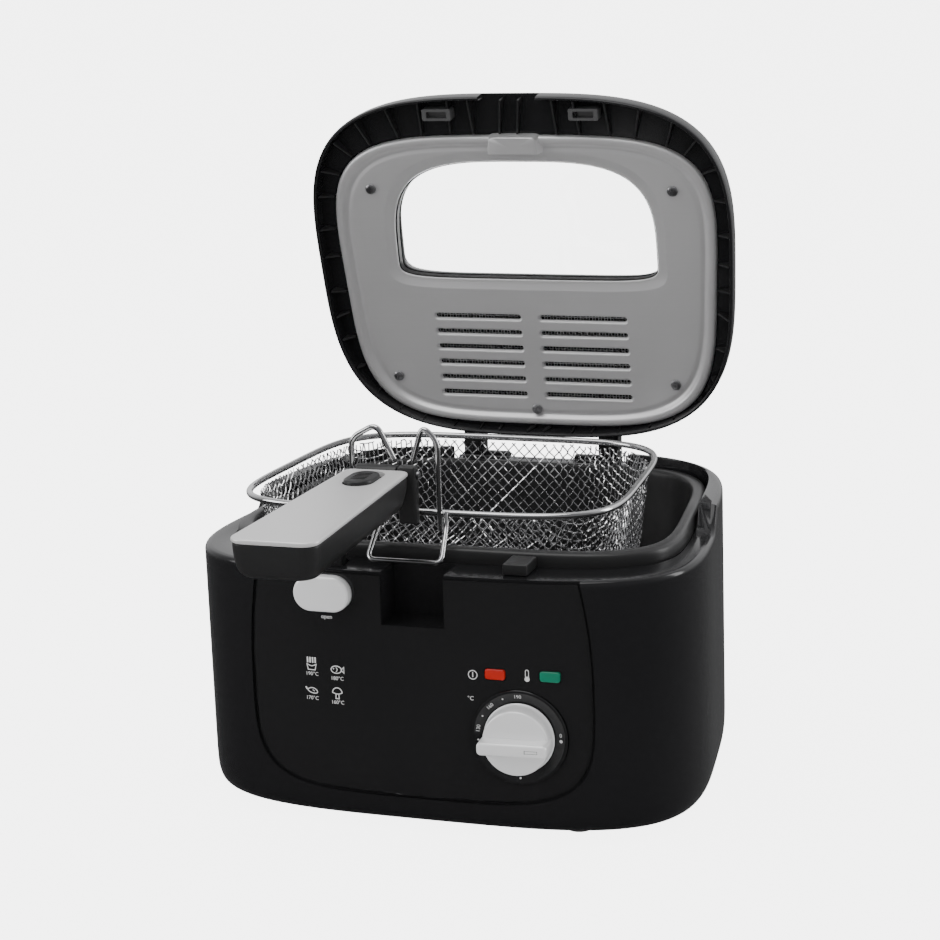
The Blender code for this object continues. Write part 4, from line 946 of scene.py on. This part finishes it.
# Open button and latch ----------------------------------------------------------------------------
# A silver sprayed button on a grey stem is pushed in to slide the latch hook behind it. A fixed
# rest of the same black plastic stands on the other side.
button_face = -front_y(BUTTON["x"]) + BUTTON["proud"]
cap_shape = stadium(BUTTON["wide"], BUTTON["tall"], BUTTON["x"], BUTTON["z"], 24)
cap = prism("button_cap", cap_shape, button_face - 15.0, button_face, facing, 1.8, steps=6)
place_piece(cap, silver, "button", "silver_plastic", "open_button")
for node, body, name in (("latch_hook", "button", "latch_claw"), ("lid_rest", "base_unit", "rest_block")):
    low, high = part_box(node)
    piece = block(name, (low - MIDDLE) / MM, (high - MIDDLE) / MM, 0.7)
    place_piece(piece, black_satin, body, "black_satin", node)

# Lid shell ----------------------------------------------------------------------------------------
# A deep black moulding on two hinge arms, with stiffening ribs inside its rim, a notch over the
# latch and a raised frame that holds the window. It is shown open, leaning back.
LID_TILT = math.radians(79.7)
LID_Y, LID_Z = 134.0, 156.2
LID = dict(half_w=143.4, half_d=119.2, power=3.34, taper=0.04, y0=155.0)
LINER = dict(half_w=130.0, half_d=102.4, power=4.14, taper=0.05, y0=143.3)
RIM, LID_TOP = 10.4, -27.6


def on_lid(u, v, w):
    """A point given across the lid, up from its base and out towards the food side."""
    y = LID_Y - v * math.cos(LID_TILT) - w * math.sin(LID_TILT)
    z = LID_Z + v * math.sin(LID_TILT) - w * math.cos(LID_TILT)
    return (u, y, z)


def lid_ring(grow, w):
    return [on_lid(u, v, w) for u, v in oblong(grow, **LID)]


def liner_ring(grow, w):
    return [on_lid(u, v, w) for u, v in oblong(grow, **LINER)]


def window_edge(grow, count=96):
    points = []
    middle = 162.0
    for i in range(count):
        t = 2.0 * math.pi * (i + 0.5) / count
        c, s = math.cos(t), math.sin(t)
        power = 3.4 if s > 0 else 6.0
        reach = (64.5 if s > 0 else 16.0) + grow
        u = (90.0 + grow) * signed_power(c, 2.0 / power)
        points.append((u, middle + reach * signed_power(s, 2.0 / power)))
    return points


inner = [(-60.0, LID_TOP + 3.0), (-40.0, LID_TOP + 3.4), (-26.0, LID_TOP + 5.6), (-17.6, LID_TOP + 11.0),
         (-11.0, LID_TOP + 16.4), (-6.2, LID_TOP + 20.4), (-3.6, -4.5)]
outer = eased([(-2.6, -1.5), (-2.4, RIM - 1.0), (-1.7, RIM - 0.1), (-0.7, RIM - 0.1), (0.0, RIM - 1.6),
               (-0.2, 0.0), (-1.0, LID_TOP + 23.4), (-3.6, LID_TOP + 19.0), (-8.0, LID_TOP + 13.4),
               (-14.6, LID_TOP + 7.2), (-24.0, LID_TOP + 2.0), (-38.0, LID_TOP), (-60.0, LID_TOP)], 3)
rings = [lid_ring(g, w) for g, w in inner]
rings += [liner_ring(0.6, -4.5), liner_ring(0.6, -1.5)]
rings += [lid_ring(g, w) for g, w in outer]
lid = loft("lid_cover", rings)
GLASS_W = -10.5
join(lid, prism("frame_outer", window_edge(8.0), LID_TOP + 1.0, -3.2, on_lid))
cut(lid, prism("frame_inner", window_edge(4.0), GLASS_W, 5.0, on_lid))
cut(lid, prism("frame_light", window_edge(0.0), GLASS_W - 4.0, GLASS_W + 2.0, on_lid))
cut(lid, loft("frame_flare", [
    [on_lid(u, v, w) for u, v in window_edge(g)] for g, w in ((0.4, GLASS_W - 2.0), (4.5, LID_TOP - 1.0))
]))
cut(lid, prism("latch_notch", soft_rect(39.2, 20.0, 2.0, 0.0, 281.3), -1.2, RIM + 6.0, on_lid))
arms = []
for side in (-1.0, 1.0):
    low_x, high_x = sorted((side * 40.8, side * 56.0))
    arms.append(prism("arm_knuckle", disc(KNUCKLE_R, HINGE_Y, HINGE_Z), low_x, high_x, lengthwise, 0.8, True))
    shape = [(10.5, -6.0), (45.0, -14.0), (45.0, -4.0), (10.5, 4.0)]
    arms.append(loft("arm", [[on_lid(x, v, w) for v, w in shape] for x in (low_x + 0.6, high_x - 0.6)]))
join(lid, *arms)
cut(lid, prism("arm_bore", disc(PIN_R + 0.35, HINGE_Y, HINGE_Z), -62.0, 62.0, lengthwise))
place_piece(lid, black_gloss, "lid", "black_gloss", "lid_shell")

bm = bmesh.new()
count = len(ANGLES)
rim_line = [Vector(p) for p in oblong(-3.0, **LID)]
seat_line = [Vector(p) for p in oblong(1.2, **LINER)]
for k in range(44):
    angle = 2.0 * math.pi * (k + 0.5) / 44
    toward = Vector((math.cos(angle), math.sin(angle)))
    hub = Vector((0.0, 150.0))
    far = min(rim_line, key=lambda p: -((p - hub).normalized().dot(toward)))
    near = min(seat_line, key=lambda p: (p - far).length)
    along = (far - near).normalized()
    side = Vector((-along.y, along.x)) * 0.6
    high = RIM - (3.4 if k % 4 else 1.8)
    corners = [near - side, near + side, far + side, far - side]
    low_row = [bm.verts.new(on_lid(p.x, p.y, -1.7)) for p in corners]
    top_row = [bm.verts.new(on_lid(p.x, p.y, w)) for p, w in zip(corners, (1.2, 1.2, high, high))]
    for i in range(4):
        bm.faces.new((low_row[i], low_row[(i + 1) % 4], top_row[(i + 1) % 4], top_row[i]))
    bm.faces.new(low_row[::-1])
    bm.faces.new(top_row)
ribs = add_piece("lid_ribs", bm, 30.0)
place_piece(ribs, black_satin, "lid", "black_satin")

# Lid liner ------------------------------------------------------------------------------------------
# A pressed aluminium sheet with a satin finish. A bead runs round its edge, the window and the
# steam slots are pressed inwards, and five screws hold it to the lid.
line = eased([
    (-50.0, 0.0), (-11.6, 0.0), (-9.6, -0.5), (-7.9, -1.0), (-6.6, 0.2), (-5.2, 2.0), (-3.8, 2.4),
    (-1.6, 2.2), (-0.3, 1.0), (0.0, -1.9),
], 4)
back = [
    (-1.2, -1.9), (-1.6, 0.6), (-4.2, 0.8), (-6.6, -1.2), (-8.0, -2.2), (-10.0, -1.7), (-12.0, -1.2), (-50.0, -1.2),
]
liner = loft("lid_lining", [liner_ring(g, w) for g, w in [*line, *back]])
boss_shape = [(-19.0, 228.6), (19.0, 228.6), (17.0, 246.6), (-17.0, 246.6)]
boss_ring = [(a, b) for a, b, c in (tuple(v) for v in eased([(*p, 0.0) for p in boss_shape], 5, True, 0.16))]
boss = loft("boss", [
    [on_lid(u * k, 237.6 + (v - 237.6) * m, w) for u, v in boss_ring]
    for k, m, w in ((1.06, 1.04, -0.8), (1.0, 1.0, 1.5), (0.95, 0.95, 4.6), (0.92, 0.92, 5.9), (0.88, 0.88, 6.3))
])
join(liner, boss)


def flange(name, edges, outline):
    """A pressed edge round an opening: rings of the same outline, grown and lowered."""
    under = [(g - 0.5, w - 0.9) for g, w in edges[::-1]]
    return loft(name, [[on_lid(u, v, w) for u, v in outline(g)] for g, w in [*edges, *under]], closed=True)


cut(liner, prism("window_hole", window_edge(8.2), -10.0, 10.0, on_lid))
window_lip = eased([(8.8, 0.02), (7.6, 0.0), (6.6, -0.4), (3.2, -1.5), (1.4, -1.8)], 4)
pieces = [flange("window_flange", window_lip, window_edge)]
VENTS = [(side * 37.05, 118.5 - 11.2 * row) for row in range(6) for side in (-1.0, 1.0)]
VENT_W, VENT_H = 61.7, 4.4
vent_shapes = [stadium(VENT_W + 2.2, VENT_H + 2.2, u, v, 10) for u, v in VENTS]
cut(liner, *[prism("vent_cut", shape, -10.0, 10.0, on_lid) for shape in vent_shapes])
for u, v in VENTS:
    lip = eased([(1.5, 0.04), (1.0, 0.02), (0.3, -0.25), (-0.1, -0.8), (-0.2, -1.6)], 3)
    pieces.append(flange(
        "vent_flange", lip, lambda g, u=u, v=v: stadium(VENT_W + 2 * g, VENT_H + 2 * g, u, v, 10),
    ))
SCREWS = {"lid_screw_1": (-104.3, 208.6), "lid_screw_2": (104.3, 208.6), "lid_screw_3": (-98.7, 73.7),
          "lid_screw_4": (98.7, 73.7), "lid_screw_5": (0.0, 52.5)}
cut(liner, *[prism("screw_hole", disc(2.35, u, v, 24), -10.0, 10.0, on_lid) for u, v in SCREWS.values()])
for piece in pieces:
    piece.data.materials.clear()
bm = bmesh.new()
bm.from_mesh(liner.data)
for piece in pieces:
    bm.from_mesh(piece.data)
    bpy.data.objects.remove(piece, do_unlink=True)
bm.to_mesh(liner.data)
bm.free()
smooth(liner, 35.0)
satin_aluminium = finish(
    "satin_aluminium", (0.70, 0.695, 0.70), (0.78, 0.775, 0.78), 0.40,
    {"Spread": 0.10, "Stretch X": 1.2, "Stretch Y": 40.0, "Stretch Z": 40.0}, 0.006, 0.75, line_group,
)
place_piece(liner, satin_aluminium, "lid", "aluminium", "lid_liner")
for node, (u, v) in SCREWS.items():
    head = [(2.0, -6.0), (2.0, 0.4), (3.5, 0.4), (3.6, 0.8), (3.3, 1.6), (2.5, 2.05), (1.2, 2.2)]
    screw = loft("liner_" + node, [[on_lid(a, b, h) for a, b in disc(r, u, v, 28)] for r, h in head])
    bars = [soft_rect(w, h, 0.2, u, v, 2) for w, h in ((3.6, 0.8), (0.8, 3.6))]
    cross = [prism("slot", bar, 1.1, 4.0, on_lid) for bar in bars]
    cut(screw, *cross)
    place_piece(screw, satin_steel, "lid", "steel", node)

# Window and filter ---------------------------------------------------------------------------------
# Clear glass is held in the lid's frame by a black rubber gasket. Behind the steam slots lies a
# woven steel gauze over a dark filter pad.
edge = [
    (3.4, GLASS_W + 3.2), (3.4, -3.6), (2.8, -3.0), (0.8, -3.0), (0.2, -3.4), (0.0, -4.6), (0.0, GLASS_W + 3.2),
]
gasket = loft("window_seal", [[on_lid(u, v, w) for u, v in window_edge(g)] for g, w in edge], closed=True)
seal_rubber = finish(
    "seal_rubber", (0.012, 0.012, 0.012), (0.020, 0.020, 0.020), 0.50,
    {"Smear": 0.12, "Smear Scale": 40.0, "Grain Scale": 1500.0, "Lint": 0.05}, 0.02,
)
place_piece(gasket, seal_rubber, "lid", "rubber", "window_gasket")
pane = prism("window_pane", window_edge(3.3), GLASS_W + 0.4, GLASS_W + 2.8, on_lid, 0.3)
clear_glass = finish(
    "clear_glass", (0.97, 0.98, 0.98), (0.99, 0.99, 0.99), 0.015,
    {"Smear": 0.03, "Smear Scale": 12.0, "Grain Scale": 60.0, "Lint": 0.0}, 0.001,
    Transmission_Weight=1.0, IOR=1.46,
)
place_piece(pane, clear_glass, "lid", "glass", "window_glass")
pad = prism("filter_pad", soft_rect(146.0, 71.0, 6.0, 0.0, 90.5), -7.0, -4.6, on_lid, 0.8)
charcoal = finish(
    "charcoal_pad", (0.006, 0.006, 0.006), (0.014, 0.014, 0.014), 0.9,
    {"Smear": 0.05, "Smear Scale": 200.0, "Grain Scale": 900.0, "Lint": 0.1}, 0.3,
)
place_piece(pad, charcoal, "lid", "steel")


def strand(bm, path, radius, sides=5):
    """A thin wire swept along a path, closed at both ends."""
    count = len(path)
    rows = []
    side = None
    for i in range(count):
        along = (path[min(i + 1, count - 1)] - path[max(i - 1, 0)]).normalized()
        if side is None:
            side = along.cross(Vector((0.31, 0.17, 0.93))).normalized()
        side = (side - along * side.dot(along)).normalized()
        other = along.cross(side)
        rows.append([bm.verts.new(path[i] + (side * math.cos(t) + other * math.sin(t)) * radius)
                     for t in [2 * math.pi * k / sides for k in range(sides)]])
    for low, high in zip(rows, rows[1:]):
        for k in range(sides):
            bm.faces.new((low[k], low[(k + 1) % sides], high[(k + 1) % sides], high[k]))
    bm.faces.new(rows[0][::-1])
    bm.faces.new(rows[-1])


bm = bmesh.new()
GAUZE = 2.1
columns, courses = int(142.0 / GAUZE), int(67.0 / GAUZE)
GAUZE_LEFT, GAUZE_LOW = -columns * GAUZE / 2, 90.5 - courses * GAUZE / 2


def gauze_spot(i, j, u, v):
    """A crossing of the gauze, where the wires pass over and under one another."""
    return Vector(on_lid(u, v, -3.0 + 0.33 * (-1) ** (i + j)))


for i in range(columns + 1):
    u = GAUZE_LEFT + i * GAUZE
    strand(bm, [gauze_spot(i, j, u, GAUZE_LOW + (j - 0.5) * GAUZE) for j in range(courses + 2)], 0.30, 4)
for j in range(courses + 1):
    v = GAUZE_LOW + j * GAUZE
    strand(bm, [gauze_spot(i, j, GAUZE_LEFT + (i - 0.5) * GAUZE, v) for i in range(columns + 2)], 0.30, 4)
gauze = add_piece("filter_gauze", bm, 60.0)
gauze_steel = finish(
    "gauze_steel", (0.50, 0.50, 0.50), (0.66, 0.66, 0.66), 0.28,
    {"Smear": 0.1, "Smear Scale": 60.0, "Grain Scale": 2000.0, "Lint": 0.0}, 0.004, 1.0,
)
place_piece(gauze, gauze_steel, "lid", "steel", "lid_filter")
for node, side in (("latch_socket_left", -1.0), ("latch_socket_right", 1.0)):
    shape = soft_rect(20.0, 8.0, 1.2, side * 50.0, 261.4, 5)
    piece = prism("catch_" + node, shape, -1.15, 7.4, on_lid, 0.5)
    cut(piece, prism("pocket", soft_rect(14.0, 4.4, 0.8, side * 50.0, 261.4, 5), 3.0, 12.0, on_lid))
    place_piece(piece, grey_nylon, "lid", "grey_plastic", node)

# Basket mesh -----------------------------------------------------------------------------------------
# One sheet of crossed steel wire, pressed into a tray and chromed. The diamonds stay even on the
# floor and the long walls, and crowd together where the corners were drawn in.
BASKET = dict(half_w=118.5, half_d=99.5, power=4.6, taper=-0.06, x0=-14.5, y0=5.5)
RIM_Z, DEPTH, DRAFT = 191.2, 74.0, 13.0
PITCH, WIRE = 5.3, 0.46
FLOOR_IN = DRAFT + 12.0
floor_edge = [Vector(p) for p in oblong(-FLOOR_IN, **BASKET)]
floor_mid = Vector((BASKET["x0"], BASKET["y0"]))
wall_line = eased([(0.0, 0.0, 0), (10.5, 0.6, 0), (15.0, 10.0, 0), (FLOOR_IN - 2.2, DEPTH - 3.0, 0)], 6)
wall_at = [0.0]
for p, q in zip(wall_line, wall_line[1:]):
    wall_at.append(wall_at[-1] + (q - p).length)
edge_normal = []
for i in range(len(floor_edge)):
    run = (floor_edge[(i + 1) % ROUND] - floor_edge[i - 1]).normalized()
    edge_normal.append(Vector((run.y, -run.x)))


def on_tray(point):
    """Bends a flat sheet point on to the tray: returns the place, the outward normal and its reach."""
    best, place = 1e9, None
    for i in range(ROUND):
        a, b = floor_edge[i], floor_edge[(i + 1) % ROUND]
        t = min(1.0, max(0.0, (point - a).dot(b - a) / (b - a).length_squared))
        gap = (point - (a + (b - a) * t)).length
        if gap < best:
            best, place = gap, (i, t)
    i, t = place
    foot = floor_edge[i].lerp(floor_edge[(i + 1) % ROUND], t)
    out = edge_normal[i].lerp(edge_normal[(i + 1) % ROUND], t).normalized()
    if (point - foot).dot(out) <= 0.0:
        return Vector((point.x, point.y, RIM_Z - DEPTH + 0.9)), Vector((0, 0, -1)), -best
    k = 0
    while k < len(wall_at) - 2 and wall_at[k + 1] < best:
        k += 1
    share = min(1.0, (best - wall_at[k]) / (wall_at[k + 1] - wall_at[k]))
    way = wall_line[k + 1] - wall_line[k]
    spot = wall_line[k] + way * share
    normal = Vector((out.x * way.y, out.y * way.y, -way.x)).normalized()
    place = Vector((foot.x + out.x * spot.x, foot.y + out.y * spot.x, RIM_Z - DEPTH + 0.9 + spot.y))
    return place, normal, best


bm = bmesh.new()
reach = 300.0
step = PITCH / 3.0
lines_each_way = int(2 * reach / PITCH)
for family in (0, 1):
    c, s = math.cos(math.radians(45.0)), math.sin(math.radians(45.0))
    run = Vector((c, s)) if family == 0 else Vector((-c, s))
    across_run = Vector((-s, c)) if family == 0 else Vector((c, s))
    for n in range(-lines_each_way // 2, lines_each_way // 2 + 1):
        base = floor_mid + across_run * (n * PITCH)
        path = []
        for m in range(-int(reach / step), int(reach / step) + 1):
            flat = base + run * (m * step)
            off = flat - floor_mid
            if abs(off.x) > 186.0 or abs(off.y) > 168.0:
                spot, normal, far = None, None, 1e9
            else:
                spot, normal, far = on_tray(flat)
            if far <= wall_at[-1]:
                wave = math.cos(math.pi * (m * step / PITCH)) * (1 if n % 2 else -1) * (1 if family else -1)
                path.append(spot + normal * 0.42 * wave)
            elif path:
                if len(path) > 2:
                    strand(bm, path, WIRE)
                path = []
        if len(path) > 2:
            strand(bm, path, WIRE)
weave = add_piece("basket_weave", bm, 60.0)
chrome = finish(
    "bright_chrome_wire", (0.74, 0.74, 0.745), (0.82, 0.82, 0.825), 0.13,
    {"Smear": 0.12, "Smear Scale": 45.0, "Grain Scale": 700.0, "Lint": 0.02}, 0.02, 1.0,
)
place_piece(weave, chrome, "basket", "chrome", "basket_mesh")

# Basket wires ----------------------------------------------------------------------------------------
# A heavy rim wire is welded round the top of the mesh. A hook wire rests on the tub's lip, and two
# bent stays and a black bracket hold the handle's pivot.
RIM_WIRE, HOOK_WIRE, STAY_WIRE = 2.1, 1.6, 1.75


def bent_wire(name, path, radius, closed=False, sides=16):
    count = len(path)
    rings = []
    side = None
    for i in range(count):
        if closed:
            along = path[(i + 1) % count] - path[i - 1]
        else:
            along = path[min(i + 1, count - 1)] - path[max(i - 1, 0)]
        along.normalize()
        if side is None:
            side = along.cross(Vector((0, 0, 1)) if abs(along.z) < 0.9 else Vector((0, 1, 0))).normalized()
        side = (side - along * side.dot(along)).normalized()
        other = along.cross(side)
        rings.append([path[i] + (side * math.cos(t) + other * math.sin(t)) * radius
                      for t in [2 * math.pi * k / sides for k in range(sides)]])
    return loft(name, rings, closed, 60.0)


def corners_rounded(points, radius, steps=8):
    spots = [Vector(p) for p in points]
    path = [spots[0]]
    for before, here, after in zip(spots, spots[1:], spots[2:]):
        reach = min(radius, (before - here).length * 0.45, (after - here).length * 0.45)
        start = here + (before - here).normalized() * reach
        end = here + (after - here).normalized() * reach
        shares = [k / steps for k in range(steps + 1)]
        path += [start * (1 - t) ** 2 + here * 2 * t * (1 - t) + end * t * t for t in shares]
    return path + [spots[-1]]


rim_line = [Vector((x, y, RIM_Z)) for x, y in oblong(0.0, **BASKET)]
rim_wire = bent_wire("basket_rim_wire", rim_line, RIM_WIRE, True)
place_piece(rim_wire, chrome, "basket", "chrome", "basket_rim")
wire_front = BASKET["y0"] - BASKET["half_d"] - RIM_WIRE
hook_top = wire_front - HOOK_WIRE - 0.4
HOOK_X, HOOK_HALF, HOOK_Y, HOOK_Z = -10.0, 23.5, -117.2, DECK_Z + 2.9
hook = bent_wire("rest_hook_wire", corners_rounded([
    (HOOK_X - HOOK_HALF + 3.0, hook_top, RIM_Z + 1.0),
    (HOOK_X - HOOK_HALF + 2.0, hook_top - 2.0, RIM_Z - 6.0),
    (HOOK_X - HOOK_HALF, HOOK_Y, HOOK_Z), (HOOK_X + HOOK_HALF, HOOK_Y, HOOK_Z),
    (HOOK_X + HOOK_HALF - 2.0, hook_top - 2.0, RIM_Z - 6.0),
    (HOOK_X + HOOK_HALF - 3.0, hook_top, RIM_Z + 1.0),
], 5.0), HOOK_WIRE)
place_piece(hook, chrome, "basket", "chrome", "basket_hook")
PIVOT_Y, PIVOT_Z, PIVOT_R = -101.0, 216.0, 5.4
stay_y = wire_front - STAY_WIRE - 0.4
for node, outer_x, inner_x in (("stay_left", -48.0, -20.5), ("stay_right", 7.0, -8.5)):
    stay = bent_wire("bent_" + node, corners_rounded([
        (outer_x, stay_y, RIM_Z - 10.0), (outer_x, stay_y, 236.5),
        (outer_x + (inner_x - outer_x) * 0.6, stay_y, 245.5),
        (inner_x, stay_y - 1.0, PIVOT_Z + PIVOT_R + 3.0),
    ], 6.0), STAY_WIRE)
    place_piece(stay, chrome, "basket", "chrome", node)
bracket_low = (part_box("handle_bracket")[0] - MIDDLE) / MM
bracket_high = (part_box("handle_bracket")[1] - MIDDLE) / MM
bracket = block("pivot_bracket", bracket_low, bracket_high, 1.4)
cut(bracket, prism("bracket_bore", disc(2.6, PIVOT_Y, PIVOT_Z, 32), -60.0, 20.0, lengthwise))
place_piece(bracket, black_satin, "basket", "black_satin", "handle_bracket")
pin = prism("pivot_pin", disc(2.2, PIVOT_Y, PIVOT_Z, 32), -44.0, -4.0, lengthwise, 0.5, True)
place_piece(pin, satin_steel, "basket", "steel", "handle_pivot")

# Handle ----------------------------------------------------------------------------------------------
# A hollow black grip with a silver sprayed cover plate let into its top. It folds on the pivot
# barrel, and a black thumb slider in the plate's opening releases it.
HANDLE_X, TOP_Z, END_Y, ROOT_Y, END_W, ROOT_W = -28.0, 220.0, -271.0, -107.0, 52.0, 41.0
SLIDER_Y, SLIDER_L, SLIDER_W = -131.0, 28.0, 18.0
PLATE_THICK, FOLD = 3.0, math.radians(30.0)


def handle_edge(shrink, steps=12):
    points = []
    for side, start in ((-1.0, 180.0), (1.0, 270.0)):
        for i in range(steps + 1):
            t = math.radians(start + 90.0 * i / steps)
            x = HANDLE_X + side * (END_W / 2.0 - shrink - 9.0) + 9.0 * math.cos(t)
            points.append((x, END_Y + shrink + 9.0 + 9.0 * math.sin(t)))
    for side, start in ((1.0, 0.0), (-1.0, 90.0)):
        for i in range(steps + 1):
            t = math.radians(start + 90.0 * i / steps)
            x = HANDLE_X + side * (ROOT_W / 2.0 - shrink - 5.0) + 5.0 * math.cos(t)
            points.append((x, ROOT_Y - shrink - 5.0 + 5.0 * math.sin(t)))
    return points


def handle_ring(shrink, z):
    return [(x, y, z) for x, y in handle_edge(shrink)]


body_top = TOP_Z - PLATE_THICK
grip_profile = eased([
    (9.0, body_top - 21.0), (5.0, body_top - 20.2), (2.2, body_top - 16.0), (1.0, body_top - 8.0),
    (0.7, body_top - 1.2), (0.9, body_top - 0.35),
], 4)
grip = loft("handle_grip", [handle_ring(s, z) for s, z in grip_profile])
slider_hole = [(HANDLE_X + b, SLIDER_Y - a) for a, b in stadium(SLIDER_L + 9.0, SLIDER_W + 1.0)]
cut(grip, prism("pocket", slider_hole, body_top - 7.0, body_top + 20.0, upright))
barrel = prism("barrel", disc(PIVOT_R, PIVOT_Y, PIVOT_Z), -43.5, bracket_low.x - 0.6, lengthwise, 0.6, True)
link_low = (-42.7, ROOT_Y - 6.1, PIVOT_Z - 8.3)
link_high = (bracket_low.x - 1.2, PIVOT_Y - 3.1, PIVOT_Z + 0.6)
link = block("link", link_low, link_high, 0.0)
join(grip, barrel, link)
drop = PIVOT_Z - (body_top - 23.0)
low_y = PIVOT_Y - (5.8 + drop * math.sin(FOLD)) / math.cos(FOLD)
relief = [
    (PIVOT_Y - 5.8, TOP_Z), (low_y, PIVOT_Z - drop), (PIVOT_Y + 8.0, PIVOT_Z - drop), (PIVOT_Y + 8.0, TOP_Z),
]
cut(grip, prism("fold_relief", relief, bracket_low.x - 0.8, 0.0, lengthwise))
cut(grip, prism("handle_bore", disc(2.6, PIVOT_Y, PIVOT_Z, 32), -60.0, 20.0, lengthwise))
place_piece(grip, black_satin, "handle", "black_satin", "handle_body")
plate_profile = eased([(0.8, body_top), (0.2, body_top + 0.5), (0.2, TOP_Z - 1.2), (0.5, TOP_Z - 0.5),
                       (1.6, TOP_Z), (4.0, TOP_Z)], 3)
plate = loft("handle_cover", [handle_ring(s, z) for s, z in plate_profile])
cut(plate, prism("plate_hole", slider_hole, body_top - 5.0, body_top + 20.0, upright))
handle_silver = finish(
    "handle_silver", (0.66, 0.655, 0.655), (0.74, 0.735, 0.735), 0.36,
    {"Spread": 0.08, "Stretch X": 30.0, "Stretch Y": 1.5, "Stretch Z": 30.0}, 0.003, 0.5, line_group,
)
place_piece(plate, handle_silver, "handle", "silver_plastic", "handle_plate")
slider_shape = [(HANDLE_X + b, SLIDER_Y - 3.0 - a) for a, b in stadium(SLIDER_L, SLIDER_W)]
slider = prism("thumb_slider", slider_shape, body_top - 6.6, TOP_Z + 2.4, upright, 1.6, steps=5)
grooves = []
for k in (-2, -1, 0, 1, 2):
    groove_y = SLIDER_Y - 3.0 + k * 3.2
    groove_low = (HANDLE_X - 4.5, groove_y - 0.7, TOP_Z + 1.5)
    groove_high = (HANDLE_X + 4.5, groove_y + 0.7, TOP_Z + 6.0)
    grooves.append(block("groove", groove_low, groove_high, 0.3))
cut(slider, *grooves)
place_piece(slider, black_satin, "slider", "black_satin", "handle_slider")
